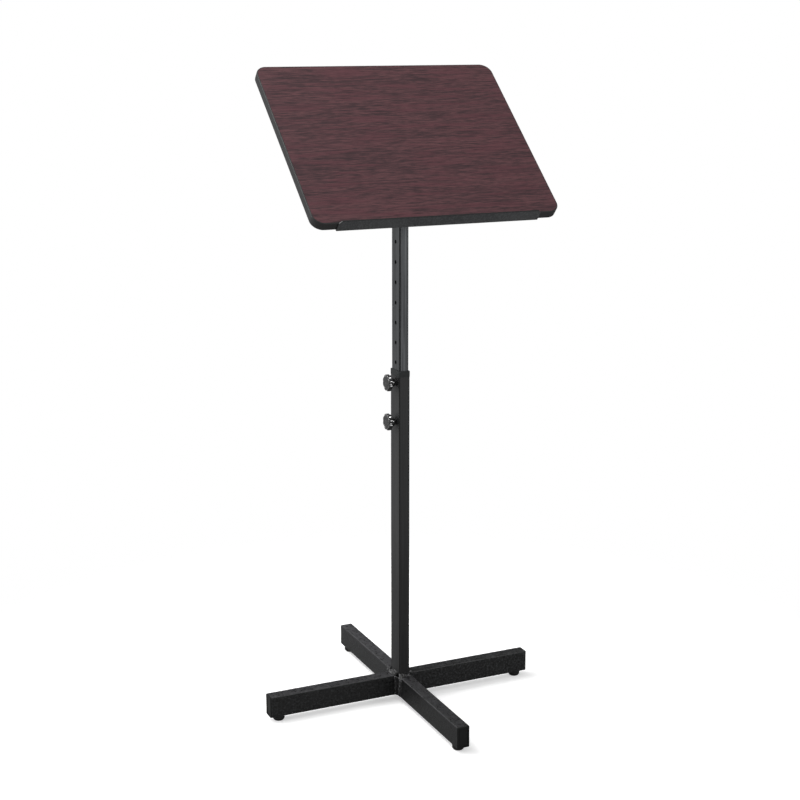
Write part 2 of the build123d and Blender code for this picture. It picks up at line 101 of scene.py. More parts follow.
# ------------------------------------------------------------------ hardware sizes
KNOB_DISC = 11.2 * MM       # radius of the dull disc inside the rim of the face
KNOB_STEP = 1.6 * MM        # depth of the face, measured back from the front of the knob
PIVOT_BOLT_RADIUS, PIVOT_BOLT_FLATS = 4.0 * MM, 13.0 * MM
LOCK_BOLT_RADIUS, LOCK_BOLT_FLATS, LOCK_HEAD = 3.0 * MM, 10.0 * MM, 4.0 * MM
BEAD_TAPER = 3.0 * MM       # length over which the end of a weld bead rises from nothing


# ------------------------------------------------------------------ surfaces as arrays of points
def rounded_loop(width, depth, corner, steps=6):
    """Points round a rectangle with round corners, anticlockwise, one quarter circle after another.

    Corner k has its centre at (+-(width/2 - corner), +-(depth/2 - corner)); its points are the centre
    plus corner * (cos t, sin t) with t from k quarter turns to k + 1 quarter turns.
    """
    quarter = np.arange(4)[:, None]
    turn = (quarter + np.linspace(0, 1, steps + 1)[None, :]) * math.pi / 2
    middle = (quarter + 0.5) * math.pi / 2
    x = np.sign(np.cos(middle)) * (width / 2 - corner) + corner * np.cos(turn)
    y = np.sign(np.sin(middle)) * (depth / 2 - corner) + corner * np.sin(turn)
    return np.stack([x.ravel(), y.ravel()], -1)


def lofted(section, levels):
    """One loop per level: each level is (size_x, size_y, corner, z) and gives section(x, y, corner) at z."""
    rows = []
    for size_x, size_y, corner, z in levels:
        flat = section(size_x, size_y, corner)
        rows.append(np.column_stack([flat, np.full(len(flat), z)]))
    return np.array(rows)


def polar_rows(radius, height, turns):
    """Rows of a turned shape: row i, column j is at radius[i, j] and height[i, j], turned by turns[j]."""
    radius, height, turns = np.broadcast_arrays(radius, height, turns)
    return np.stack([radius * np.cos(turns), radius * np.sin(turns), height], -1)


def full_turn(count):
    """Angles evenly spaced round a full turn."""
    return np.linspace(0, 2 * math.pi, count, endpoint=False)


def lathe_rows(profile, turns):
    """Rows of a turned shape from the (radius, height) pairs of its profile."""
    profile = np.asarray(profile, float)
    return polar_rows(profile[:, :1], profile[:, 1:], turns)


def skin(rows, ring=False):
    """Joins rows of points, each a closed loop, into one closed shell.

    Row i is joined to row i + 1 by quads. The end rows are closed onto their own middle points, or,
    for a ring, onto each other.
    """
    count, around = rows.shape[:2]
    i = np.arange(count if ring else count - 1)[:, None]
    j = np.arange(around)[None, :]
    after, beyond = (i + 1) % count, (j + 1) % around
    quads = np.stack([i * around + j, i * around + beyond, after * around + beyond, after * around + j], -1)
    points, faces = rows.reshape(-1, 3), quads.reshape(-1, 4).tolist()
    if not ring:
        points = np.vstack([points, rows[0].mean(0), rows[-1].mean(0)])
        first, last, column = count * around, (count - 1) * around, np.arange(around)
        step = (column + 1) % around
        faces += np.stack([step, column, np.full(around, first)], -1).tolist()
        faces += np.stack([last + column, last + step, np.full(around, first + 1)], -1).tolist()
    return points, faces


def volume(points, faces):
    """Signed volume of a closed shell: the sum over fans of a . (b x c) / 6."""
    total = 0.0
    for size in (3, 4):
        chosen = np.array([face for face in faces if len(face) == size], int)
        for corner in range(2, size if len(chosen) else 2):
            a, b, c = (points[chosen[:, k]] for k in (0, corner - 1, corner))
            total += np.einsum("ij,ij->", a, np.cross(b, c)) / 6
    return total


def solid(name, shells, sharp=38.0):
    """One object from closed shells, with every face outwards and soft shading below a sharp angle."""
    points, faces, start = [], [], 0
    for shell_points, shell_faces in shells:
        shell_points = np.asarray(shell_points, float)
        outward = volume(shell_points - shell_points.mean(0), shell_faces) > 0
        points.append(shell_points)
        faces += [[start + k for k in (face if outward else face[::-1])] for face in shell_faces]
        start += len(shell_points)
    mesh = bpy.data.meshes.new(name)
    mesh.from_pydata(np.vstack(points).tolist(), [], faces)
    mesh.polygons.foreach_set("use_smooth", np.ones(len(faces), bool))
    mesh.set_sharp_from_angle(angle=math.radians(sharp))
    mesh.validate()
    piece = bpy.data.objects.new(name, mesh)
    bpy.context.scene.collection.objects.link(piece)
    even = piece.modifiers.new("even shading", "WEIGHTED_NORMAL")
    even.keep_sharp = True
    return piece


def turned_z(points, degrees):
    """Points turned about the Z axis."""
    c, s = math.cos(math.radians(degrees)), math.sin(math.radians(degrees))
    return points @ np.array([[c, s, 0], [-s, c, 0], [0, 0, 1]])


def outward_x(points, x, z):
    """Points drawn along +Z, laid so that they point along -X from the point (x, 0, z)."""
    return np.stack([x - points[..., 2], points[..., 1], z + points[..., 0]], -1)


def along_x(points, x, z):
    """Points drawn along +Z, laid so that they point along +X from the point (x, 0, z)."""
    return np.stack([x + points[..., 2], points[..., 1], z - points[..., 0]], -1)


def desk_place(points):
    """Points drawn with the desk flat and its pivot at the origin, tilted and moved to their place."""
    x, y, z = points[..., 0], points[..., 1], points[..., 2]
    return np.stack([x, TILT_COS * y - TILT_SIN * z, TILT_SIN * y + TILT_COS * z], -1) + PIVOT


def uneven(shape, seed, smooth=2):
    """Fixed unevenness between -1 and 1: seeded random values, averaged with their neighbours."""
    values = np.random.default_rng(seed).uniform(-1, 1, shape)
    for _ in range(smooth):
        for axis in range(values.ndim):
            values = (np.roll(values, 1, axis) + 2 * values + np.roll(values, -1, axis)) / 4
    return values / np.abs(values).max()


# ------------------------------------------------------------------ shader expressions
class Value:
    """A shader socket that takes part in Python arithmetic: each operator adds one Math node."""

    def __init__(self, graph, socket):
        self.graph, self.socket = graph, socket

    def math(self, operation, *values, clamp=False):
        """One Math node on the given values, which are sockets or plain numbers."""
        settings = {"operation": operation, "use_clamp": clamp}
        return self.graph.node("Math", settings, dict(enumerate(values)))

    def __add__(self, other):
        return self.math("ADD", self, other)

    def __sub__(self, other):
        return self.math("SUBTRACT", self, other)

    def __rsub__(self, other):
        return self.math("SUBTRACT", other, self)

    def __mul__(self, other):
        return self.math("MULTIPLY", self, other)

    def __truediv__(self, other):
        return self.math("DIVIDE", self, other)

    def __pow__(self, other):
        return self.math("POWER", self, other)

    __radd__, __rmul__ = __add__, __mul__

    def least(self, other):
        """The smaller of two values."""
        return self.math("MINIMUM", self, other)

    def most(self, other):
        """The larger of two values."""
        return self.math("MAXIMUM", self, other)

    def held(self):
        """The value held between 0 and 1."""
        return self.math("ADD", self, 0.0, clamp=True)

    def ramp(self, low, high):
        """0 at low, 1 at high, and a smooth step between them; low may be above high."""
        part = ((self - low) / (high - low)).held()
        return part * part * (3.0 - 2.0 * part)


class Graph:
    """The nodes of a material or of the surroundings, written as expressions."""

    def __init__(self, owner, kind):
        """Clears the nodes of a material or a world, and adds the output of that kind."""
        owner.use_nodes = True
        self.tree = owner.node_tree
        self.tree.nodes.clear()
        self.surface = self.tree.nodes.new("ShaderNodeOutput" + kind).inputs["Surface"]

    def node(self, kind, settings=None, values=None, output=0):
        """Adds a node, gives it its settings, then links or sets its inputs, and returns one output."""
        made = self.tree.nodes.new("ShaderNode" + kind)
        for key, value in (settings or {}).items():
            setattr(made, key, value)
        for key, value in (values or {}).items():
            self.join(value, made.inputs[key])
        return Value(self, made.outputs[output])

    def join(self, value, socket):
        """Links a value to a socket, or sets the socket to a plain number or colour."""
        if isinstance(value, Value):
            self.tree.links.new(value.socket, socket)
        elif isinstance(value, (tuple, list)) and socket.type == "RGBA" and len(value) == 3:
            socket.default_value = (*value, 1.0)
        else:
            socket.default_value = value

    def place(self):
        """The point of the surface, in metres, in the lectern's own frame."""
        return self.node("TexCoord", output="Object")

    def mapped(self, point, scale=(1, 1, 1), turn=(0, 0, 0), shift=(0, 0, 0)):
        """A point scaled, then turned, then shifted."""
        values = {"Vector": point, "Location": shift, "Rotation": turn, "Scale": scale}
        return self.node("Mapping", {"vector_type": "POINT"}, values)

    def noise(self, point, per_metre, detail=2.0, rough=0.5, warp=0.0):
        """Smooth noise between 0 and 1, about one lump per 1 / per_metre."""
        values = {"Vector": point, "Scale": per_metre, "Detail": detail, "Roughness": rough,
                  "Distortion": warp}
        return self.node("TexNoise", {"noise_dimensions": "3D"}, values)

    def parts(self, point):
        """The x, y and z of a point as three values."""
        return [self.node("SeparateXYZ", None, {0: point}, output=axis) for axis in range(3)]

    def mix(self, factor, low, high):
        """A colour between two colours."""
        return self.node("Mix", {"data_type": "RGBA"}, {0: factor, 6: low, 7: high}, output=2)

    def bump(self, height, depth):
        """A normal for a surface that rises by depth, in metres, as height goes from 0 to 1."""
        return self.node("Bump", None, {"Strength": 1.0, "Distance": depth, "Height": height})

    def edge_nearness(self, point, low, high, width):
        """1 on the edges of the box from low to high, falling to 0 at a width from them.

        The distance to the nearest edge is the middle one of the three distances to the box's faces.
        """
        gaps = [(part - a).least(b - part) for part, a, b in zip(self.parts(point), low, high)]
        middle = gaps[0].least(gaps[1]).most(gaps[0].most(gaps[1]).least(gaps[2]))
        return middle.ramp(width, 0.0)


class Finish(Graph):
    """One material: a Principled shader, and the expressions that colour and roughen it."""

    def __init__(self, name, **constants):
        self.material = bpy.data.materials.new(name)
        super().__init__(self.material, "Material")
        self.shader = self.tree.nodes.new("ShaderNodeBsdfPrincipled")
        self.tree.links.new(self.shader.outputs[0], self.surface)
        for socket, value in constants.items():
            self.shader.inputs[socket.replace("_", " ")].default_value = value

    def done(self, colour, roughness, normal=None):
        """Joins the finished expressions to the shader and returns the material."""
        self.join(colour, self.shader.inputs["Base Color"])
        self.join(roughness, self.shader.inputs["Roughness"])
        if normal is not None:
            self.join(normal, self.shader.inputs["Normal"])
        return self.material


def shade(colour, factor):
    """A plain colour made lighter or darker by a factor."""
    return tuple(part * factor for part in colour)


def grey(level):
    """A plain grey."""
    return (level, level, level)


# ------------------------------------------------------------------ finishes
def post_coat(name, node, looks, lift=1.0, metal=0.0):
    """Satin black coat on a post: faint lines along the tube, a slow drift, and painted shade that darkens
    its corners, which are also rougher.
    """
    finish = Finish(name, Specular_IOR_Level=looks.coat_gloss, Metallic=metal)
    point = finish.place()
    low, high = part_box(node)
    lines = finish.noise(finish.mapped(point, (1.0, 1.0, 0.012)), 420.0, 2.0)
    fine = finish.noise(point, 900.0, 2.0)
    drift = finish.noise(finish.mapped(point, (1.0, 1.0, 0.4)), 14.0, 3.0, 0.6)
    edge = finish.edge_nearness(point, low, high, 3.0 * MM)
    colour = shade(tuple(looks.coat), lift)
    body = finish.mix(drift.ramp(0.3, 0.7), shade(colour, 0.84), shade(colour, 1.16))
    body = finish.mix(lines.ramp(0.45, 0.62) * 0.6, body, shade(colour, 2.1))
    # painted shade: the corners darkened nearly to black
    body = finish.mix((edge * 1.6).held() * 0.96, body, shade(colour, 0.06))
    roughness = looks.coat_roughness + (fine - 0.5) * 0.16 + (drift - 0.5) * 0.1 + edge * 0.5
    return finish.done(body, roughness, finish.bump(fine, 0.06 * MM))


def leg_coat(name, node, looks, lift=1.0, dust=0.0):
    """Black textured powder coat: coarse light and dark grains, orange peel, rubbed edges that are partly a
    painted highlight, and dust on top that is partly painted light on the tops.
    """
    finish = Finish(name, Specular_IOR_Level=looks.coat_gloss)
    point = finish.place()
    low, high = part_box(node)
    peel = finish.noise(point, 620.0, 2.0)
    grain = finish.noise(point, 250.0, 2.0, 0.7)
    patch = finish.noise(point, 80.0, 3.0, 0.6)
    drift = finish.noise(point, 16.0, 3.0, 0.6)
    edge = finish.edge_nearness(point, low, high, 1.9 * MM) * (0.45 + 0.55 * drift)
    # lift is painted light and shade: the coat of a whole piece made lighter or darker for the light that
    # falls on it
    colour = shade(tuple(looks.coat), lift)
    body = finish.mix(drift.ramp(0.3, 0.7), shade(colour, 0.8), shade(colour, 1.2))
    body = finish.mix(grain.ramp(0.49, 0.40) * 0.9, body, shade(colour, 0.15))
    body = finish.mix(grain.ramp(0.51, 0.62) * 0.9, body, shade(colour, 7.0))
    body = finish.mix(patch.ramp(0.52, 0.66) * 0.4, body, shade(colour, 2.0))
    # dust on upward faces, partly painted light: it lightens the tops of the legs, by a different amount on
    # each leg
    upward = finish.parts(finish.node("TexCoord", output="Normal"))[2].ramp(0.3, 0.9)
    body = finish.mix(upward * (0.25 + grain.ramp(0.40, 0.60) * 0.75) * dust, body, tuple(looks.dust))
    # pale rubbed edges, partly a painted highlight along the edges
    body = finish.mix(edge * 0.7, body, tuple(looks.coat_edge_rub_and_highlight))
    roughness = looks.coat_roughness + (peel - 0.5) * 0.16 + (grain - 0.5) * 0.9 + (drift - 0.5) * 0.12
    return finish.done(body, roughness, finish.bump(peel * 0.35 + grain * 0.65, 0.7 * MM))


def weld_coat(name, looks):
    """Coat over the weld beads: painted shade in the hollows and pits, painted light on the rises, and pale
    crests that are partly rubbed coat and partly a painted highlight.
    """
    finish = Finish(name, Specular_IOR_Level=looks.coat_gloss)
    point = finish.place()
    lump = finish.noise(point, 240.0, 3.0, 0.7)
    pit = finish.noise(point, 520.0, 1.0)
    colour = tuple(looks.coat)
    # painted shade and light: the low parts of the lumps darker, the high parts lighter
    body = finish.mix(lump.ramp(0.42, 0.62), shade(colour, 0.35), shade(colour, 1.4))
    # pale crests: rubbed coat and a painted highlight
    body = finish.mix(lump.ramp(0.54, 0.66) * 0.9, body, shade(tuple(looks.coat_edge_rub_and_highlight), 3.2))
    # painted shade in the pits
    body = finish.mix(pit.ramp(0.40, 0.30) * 0.8, body, shade(colour, 0.1))
    roughness = looks.coat_roughness + (lump - 0.5) * 0.3
    return finish.done(body, roughness, finish.bump(lump * 0.7 + pit * 0.3, 0.6 * MM))


def moulded_plastic(name, colour, roughness, grain=900.0, depth=0.03, gloss=0.5, dust=0.0):
    """Moulded black plastic: a fine even grain, faint flow marks and a little dust in its hollows."""
    finish = Finish(name, Specular_IOR_Level=gloss)
    point = finish.place()
    fine = finish.noise(point, grain, 2.0)
    flow = finish.noise(finish.mapped(point, (1.0, 1.0, 2.4)), 55.0, 3.0, 0.55, 0.6)
    body = finish.mix(flow, shade(colour, 0.7), shade(colour, 1.4))
    body = finish.mix(fine.ramp(0.55, 0.8) * dust, body, (0.20, 0.20, 0.19))
    rough = roughness + (flow - 0.5) * 0.14 + (fine - 0.5) * 0.08
    return finish.done(body, rough, finish.bump(fine, depth * MM))


def knob_plastic(looks):
    """Glossy black knob plastic: smooth flutes, and a dull pebbled disc inside the rim of the face."""
    finish = Finish("knob_plastic_black", Specular_IOR_Level=0.55, Coat_Roughness=0.07)
    point = finish.place()
    x, y, z = finish.parts(point)
    pebble = finish.node("TexVoronoi", {"feature": "SMOOTH_F1"}, {"Vector": point, "Scale": 420.0})
    fine = finish.noise(point, 1800.0, 1.0)
    on_desk = (z - span("tilt_knob_head", 2)[0] + 0.05).ramp(0.0, 0.01)
    on_post = (x - span("upper_knob_head", 0)[0]).ramp(KNOB_STEP, 0.5 * KNOB_STEP)
    on_joint = (x - span("tilt_knob_head", 0)[0]).ramp(KNOB_STEP, 0.5 * KNOB_STEP)
    face = on_post * (1.0 - on_desk) + on_joint * on_desk
    inside = 0.0
    for knob in KNOBS:
        middle = sum(span(f"{knob}_head", 2)) / 2
        distance = (y * y + (z - middle) * (z - middle)) ** 0.5
        inside = distance.ramp(KNOB_DISC + 0.2 * MM, KNOB_DISC - 0.3 * MM) + inside
    face = (face * inside).held()
    body = finish.mix(face, tuple(looks.knob), tuple(looks.knob_face))
    body = finish.mix(pebble.ramp(0.45, 0.20) * face, body, shade(tuple(looks.knob_face), 7.0))
    rough = 0.13 + face * 0.12 + (fine - 0.5) * 0.04
    height = pebble * face * 0.9 + fine * 0.02
    finish.join(1.0 - face, finish.shader.inputs["Coat Weight"])
    return finish.done(body, rough, finish.bump(height, 0.45 * MM))


def wood_laminate(looks):
    """Mahogany laminate: long fine grain along the desk, darker pores, and slow red and brown bands.

    The point is turned back to the flat desk, and noise stretched along X makes the grain.
    """
    finish = Finish("mahogany_laminate", Specular_IOR_Level=looks.laminate_gloss)
    back = (0.0, -TILT_COS * PIVOT[1] - TILT_SIN * PIVOT[2], TILT_SIN * PIVOT[1] - TILT_COS * PIVOT[2])
    flat = finish.mapped(finish.place(), turn=(-DESK_TILT, 0.0, 0.0), shift=back)
    sway = finish.noise(finish.mapped(flat, (1.8, 6.0, 0.0)), 1.0, 2.0)
    x, y, _ = finish.parts(flat)
    bent = y + (sway - 0.5) * 0.014
    grain_point = finish.node("CombineXYZ", None, {0: x, 1: bent, 2: 0.0})
    band = finish.noise(finish.mapped(grain_point, (3.0, 38.0, 1.0)), 1.0, 3.0, 0.55)
    hue = finish.noise(finish.mapped(grain_point, (9.0, 95.0, 1.0), shift=(3.1, 7.7, 2.0)), 1.0, 2.0)
    line = finish.noise(finish.mapped(grain_point, (20.0, 290.0, 1.0)), 1.0, 4.0, 0.62)
    fibre = finish.noise(finish.mapped(grain_point, (60.0, 800.0, 1.0)), 1.0, 2.0, 0.5)
    pore = finish.noise(finish.mapped(grain_point, (70.0, 1900.0, 1.0), shift=(5.0, 1.3, 4.0)), 1.0, 1.0)
    pore = pore.ramp(0.62, 0.74)
    tone = 0.46 * line + 0.18 * band + 0.36 * fibre
    light, dark, red = tuple(looks.wood_light), tuple(looks.wood_dark), tuple(looks.wood_red)
    body = finish.mix(tone.ramp(0.42, 0.60), dark, light)
    body = finish.mix(hue.ramp(0.46, 0.66) * 0.5, body, red)
    body = finish.mix(line.ramp(0.42, 0.30) * 0.8, body, shade(dark, 0.72))
    body = finish.mix(pore * 0.6, body, shade(dark, 0.6))
    roughness = looks.laminate_roughness + (line - 0.5) * 0.10 + pore * 0.12
    height = fibre * 0.4 + line * 0.3 - pore * 0.8
    return finish.done(body, roughness, finish.bump(height, 0.05 * MM))


def edge_plastic(looks):
    """Extruded black edging: faint lines along the strip and a fine satin grain."""
    finish = Finish("edge_band_black", Specular_IOR_Level=0.22)
    point = finish.place()
    _, y, z = finish.parts(point)
    lines = finish.node("CombineXYZ", None, {2: z * TILT_COS - y * TILT_SIN})
    ribs = finish.noise(lines, 2600.0, 2.0)
    fine = finish.noise(point, 1300.0, 2.0)
    drift = finish.noise(point, 22.0, 3.0)
    colour = tuple(looks.edging)
    body = finish.mix(drift, shade(colour, 0.75), shade(colour, 1.3))
    body = finish.mix(fine.ramp(0.6, 0.8) * 0.25, body, shade(colour, 2.4))
    roughness = 0.44 + (drift - 0.5) * 0.12 + (fine - 0.5) * 0.1
    return finish.done(body, roughness, finish.bump(ribs * 0.5 + fine * 0.5, 0.05 * MM))


def plated_steel(name, colour, roughness=0.34):
    """Bright plated steel: cloudy passivation, fine turning lines and a few dull specks."""
    finish = Finish(name, Metallic=1.0)
    point = finish.place()
    cloud = finish.noise(point, 130.0, 3.0, 0.6)
    fine = finish.noise(finish.mapped(point, (5.0, 1.0, 1.0)), 900.0, 2.0)
    speck = finish.noise(point, 1400.0, 1.0).ramp(0.66, 0.76)
    body = finish.mix(cloud, shade(colour, 0.74), shade(colour, 1.1))
    body = finish.mix(speck * 0.4, body, shade(colour, 0.35))
    rough = roughness + (cloud - 0.5) * 0.2 + speck * 0.15
    return finish.done(body, rough, finish.bump(fine, 0.02 * MM))


def particle_board():
    """Chipboard: flat chips of mixed tan shades with dark glue lines between them."""
    finish = Finish("particle_board_raw", Specular_IOR_Level=0.25)
    point = finish.place()
    stretched = finish.mapped(point, (1.0, 1.6, 2.2))
    chip = finish.node("TexVoronoi", None, {"Vector": stretched, "Scale": 420.0}, output="Color")
    gap = finish.node("TexVoronoi", {"feature": "DISTANCE_TO_EDGE"}, {"Vector": stretched, "Scale": 420.0})
    tone = finish.parts(chip)[0]
    body = finish.mix(tone, (0.23, 0.13, 0.06), (0.52, 0.36, 0.20))
    body = finish.mix(gap.ramp(0.09, 0.0) * 0.6, body, (0.07, 0.04, 0.02))
    return finish.done(body, 0.82 + (tone - 0.5) * 0.1, finish.bump(gap, 0.2 * MM))


def backing_sheet(looks):
    """Dark balancing paper on the underside: a fine pressed weave over slow cloudy patches."""
    finish = Finish("backing_sheet_dark", Specular_IOR_Level=0.3)
    point = finish.place()
    cloud = finish.noise(point, 12.0, 4.0, 0.6)
    fleck = finish.noise(finish.mapped(point, (1.0, 6.0, 6.0)), 240.0, 3.0)
    colour = tuple(looks.backing)
    body = finish.mix(cloud, shade(colour, 0.78), shade(colour, 1.25))
    body = finish.mix(fleck.ramp(0.56, 0.72) * 0.45, body, shade(colour, 2.1))
    rough = 0.62 + (fleck - 0.5) * 0.16 + (cloud - 0.5) * 0.08
    return finish.done(body, rough, finish.bump(fleck, 0.05 * MM))


def studio_floor():
    """Pale seamless floor: matt white with a barely visible unevenness, which fades into the white
    surroundings away from the lectern. Light that bounces off it is dimmer, as off grey paper.
    """
    finish = Finish("studio_floor_white", Specular_IOR_Level=0.0, Emission_Strength=1.0)
    point = finish.place()
    cloud = finish.noise(point, 1.3, 3.0)
    x, y, _ = finish.parts(point)
    seen = finish.node("LightPath", output="Is Camera Ray")
    colour = finish.mix(cloud, grey(0.90), grey(0.93))
    material = finish.done(finish.mix(seen, grey(0.22), colour), 0.95)
    finish.join(finish.mix(seen, grey(0.02), grey(0.42)), finish.shader.inputs["Emission Color"])
    fade = ((x * x + y * y) ** 0.5).ramp(0.42, 1.0)
    clear = finish.node("BsdfTransparent")
    faded = finish.node("MixShader", None, {0: fade, 1: Value(finish, finish.shader.outputs[0]), 2: clear})
    finish.join(faded, finish.surface)
    return material


def dress(piece, material):
    """Gives a piece one material; a CAD node keeps its mesh and gets the material on its slot."""
    if piece.material_slots:
        for slot in piece.material_slots:
            slot.material = material
    else:
        piece.data.materials.append(material)


def dress_nodes(names, material):
    """Gives several CAD nodes one material."""
    for name in names:
        dress(NODES[name], material)


def make_piece(name, shells, material, body, node, sharp=38.0):
    """A finished piece: it rides on its body, takes its material and stands for its CAD node, which it hides.
    """
    piece = solid(name, shells, sharp)
    dress(piece, material)
    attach(piece, body)
    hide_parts(node)


# ------------------------------------------------------------------ user sizes and colours
def length(name, description, default, low, high):
    """A length property, from its default and limits in millimetres."""
    return FloatProperty(name=name, description=description, default=default * MM, min=low * MM,
                         max=high * MM, unit="LENGTH")


class LecternShape(PropertyGroup):
    """Sizes of the finished surfaces that a user may change."""

    cap_rim: length("Cap rim", "Width of the rim round the recess of an end cap", 2.6, 1.0, 5.0)
    cap_recess: length("Cap recess", "Depth of the recess in the face of an end cap", 1.1, 0.3, 2.0)
    flute_depth: length("Flute depth", "Depth of the finger flutes in a knob", 2.3, 0.5, 3.0)
    flutes: IntProperty(
        name="Flutes", description="Number of finger flutes round a knob", default=8, min=5, max=16)
    weld_ripple: length("Weld ripple", "Height of the ripples in the weld beads", 0.65, 0.0, 1.2)
    weld_pitch: length("Weld pitch", "Distance from one ripple of a bead to the next", 2.9, 1.0, 6.0)
    thread_pitch: length("Thread pitch", "Pitch of the screw threads that show", 1.25, 0.7, 2.0)


def tone(name, description, default):
    """A colour property."""
    return FloatVectorProperty(
        name=name, description=description, subtype="COLOR", size=3, default=default, min=0.0, max=1.0)


def share(name, description, default):
    """A property between 0 and 1."""
    return FloatProperty(
        name=name, description=description, subtype="FACTOR", default=default, min=0.0, max=1.0)


class LecternLooks(PropertyGroup):
    """Colours and gloss of the finishes that a user may change."""

    coat: tone("Powder coat", "Colour of the powder coat on the steel", (0.0046, 0.0048, 0.0050))
    # the rubbed coat also stands for painted highlights on the leg edges and the weld crests
    coat_edge_rub_and_highlight: tone("Rubbed coat", "Colour of the powder coat on its rubbed edges", (0.05, 0.05, 0.052))
    # on the legs this dust partly stands for painted light on their tops
    dust: tone("Dust", "Colour of the fine dust on top of the legs", (0.062, 0.061, 0.066))
    coat_gloss: share("Coat gloss", "Strength of the reflection of the powder coat", 0.50)
    coat_roughness: share("Coat roughness", "Roughness of the powder coat", 0.40)
    cap: tone("End cap", "Colour of the moulded end caps", (0.0050, 0.0055, 0.0055))
    glide: tone("Glide", "Colour of the floor glides", (0.010, 0.010, 0.010))
    knob: tone("Knob", "Colour of the gloss part of a knob", (0.004, 0.004, 0.004))
    knob_face: tone("Knob face", "Colour of the dull disc on a knob", (0.006, 0.0062, 0.0065))
    edging: tone("Edging", "Colour of the band round the desk", (0.026, 0.026, 0.0265))
    wood_light: tone("Light wood", "Light part of the wood grain", (0.118, 0.048, 0.054))
    wood_dark: tone("Dark wood", "Dark part of the wood grain", (0.043, 0.021, 0.025))
    wood_red: tone("Red wood", "Red bands of the wood grain", (0.108, 0.034, 0.044))
    laminate_gloss: share("Laminate gloss", "Strength of the reflection of the laminate", 0.30)
    laminate_roughness: share("Laminate roughness", "Roughness of the laminate", 0.46)
    backing: tone("Backing", "Colour of the sheet on the underside", (0.022, 0.016, 0.014))


# ------------------------------------------------------------------ pieces of the base
LEG_PAINTED_LIGHT_AND_DUST = {       # per leg: painted light and shade, how much lighter or darker its coat is painted than the plain colour for the light on that leg; and the dust on its top, which partly paints light on that top
    "front": (0.9, 0.42), "right": (1.2, 0.05), "rear": (1.4, 0.95), "left": (0.8, 0.55)}


class LECTERN_OT_legs(Operator):
    """Coats the four leg tubes that are welded to the post."""

    bl_idname = "lectern.legs"
    bl_label = "Coat the legs"

    def execute(self, context):
        looks = context.scene.lectern_looks
        # lift paints light and shade on a whole leg; dust is dust and also painted light on its top
        for side, (lift, dust) in LEG_PAINTED_LIGHT_AND_DUST.items():
            node = f"{side}_leg"
            dress(NODES[node], leg_coat(f"powder_coat_{node}", node, looks, lift, dust))
        return {"FINISHED"}


def end_cap_shell(shape):
    """Front end cap, drawn along +Z from the end of the tube and then laid along -Y.

    Its loops are rounded rectangles: the hollow box in the tube, the flange with a round front edge,
    the rim, the recess and a raised panel in the recess.
    """
    width, height, out = 2 * LEG_HALF, LEG_HIGH - LEG_LOW, CAP_REACH - LEG_REACH
    box, wall, round_edge = 3.4 * MM, 3.8 * MM, 0.7 * MM
    levels = [(box + wall, -2.0 * MM), (box + wall, -11.8 * MM), (box, -12.0 * MM), (box, 0.0),
              (0.9 * MM, 0.0), (0.35 * MM, 0.12 * MM), (0.0, 0.5 * MM)]
    for turn in np.linspace(0, math.pi / 2, 5):
        levels.append((2 * round_edge * (1 - math.cos(turn)), out - round_edge * (1 - math.sin(turn))))
    rim, floor = 2 * shape.cap_rim, out - shape.cap_recess
    levels += [(rim, out), (rim + 0.3 * MM, out - 0.2 * MM), (rim + 0.7 * MM, floor),
               (rim + 3.6 * MM, floor), (rim + 4.2 * MM, floor + 0.45 * MM),
               (rim + 5.4 * MM, floor + 0.5 * MM)]
    corners = [max(1.5 * MM - less / 2, 0.5 * MM) for less, _ in levels]
    stack = [(width - less, height - less, corner, z) for (less, z), corner in zip(levels, corners)]
    rows = lofted(rounded_loop, stack)
    return np.stack([rows[..., 0], -LEG_REACH - rows[..., 2], (LEG_LOW + LEG_HIGH) / 2 + rows[..., 1]], -1)


class LECTERN_OT_end_caps(Operator):
    """Makes the four plastic end caps with their rims, recesses and raised panels."""

    bl_idname = "lectern.end_caps"
    bl_label = "Make the end caps"

    def execute(self, context):
        rows = end_cap_shell(context.scene.lectern_shape)
        looks = context.scene.lectern_looks
        material = moulded_plastic("end_cap_plastic", tuple(looks.cap), roughness=0.42, grain=700.0,
                                   depth=0.05, gloss=0.36, dust=0.05)
        for side, turn in SIDES.items():
            shell = skin(turned_z(rows, turn))
            make_piece(f"{side}_cap", [shell], material, "base", f"{side}_end_cap")
        return {"FINISHED"}


class LECTERN_OT_glides(Operator):
    """Makes the four domed glides under the ends of the legs."""

    bl_idname = "lectern.glides"
    bl_label = "Make the glides"

    def execute(self, context):
        """Each glide is a turned profile of (radius, height) pairs: barb, stem, flange, belly and dome."""
        top = LEG_LOW
        profile = [(3.0, 19.0), (3.3, 18.6), (4.6, 12.2), (4.4, 11.9), (3.85, 11.8), (3.85, 10.4)]
        profile = [(r * MM, z * MM) for r, z in profile]
        profile += [(10.2 * MM, top), (10.55 * MM, top - 0.25 * MM), (10.6 * MM, top - 1.5 * MM),
                    (10.3 * MM, top - 1.8 * MM), (10.3 * MM, top - 2.1 * MM), (10.8 * MM, top - 2.4 * MM)]
        dome = np.linspace(0.0, 1.0, 14)
        bulge = np.stack([6.2 * MM + 4.8 * MM * np.cos(dome * math.pi / 2) ** 0.75,
                          5.8 * MM * (1 - np.sin(dome * math.pi / 2) ** 1.25)], -1)
        profile = np.vstack([profile, bulge, [(5.6 * MM, 0.0)], [(3.0 * MM, 0.25 * MM)]])
        rows = lathe_rows(profile, full_turn(48))
        rows[..., 1] -= GLIDE_REACH
        looks = context.scene.lectern_looks
        material = moulded_plastic("glide_plastic_black", tuple(looks.glide), roughness=0.34, grain=800.0,
                                   dust=0.2)
        for side, turn in SIDES.items():
            shell = skin(turned_z(rows, turn))
            make_piece(f"{side}_foot", [shell], material, "base", f"{side}_glide")
        return {"FINISHED"}


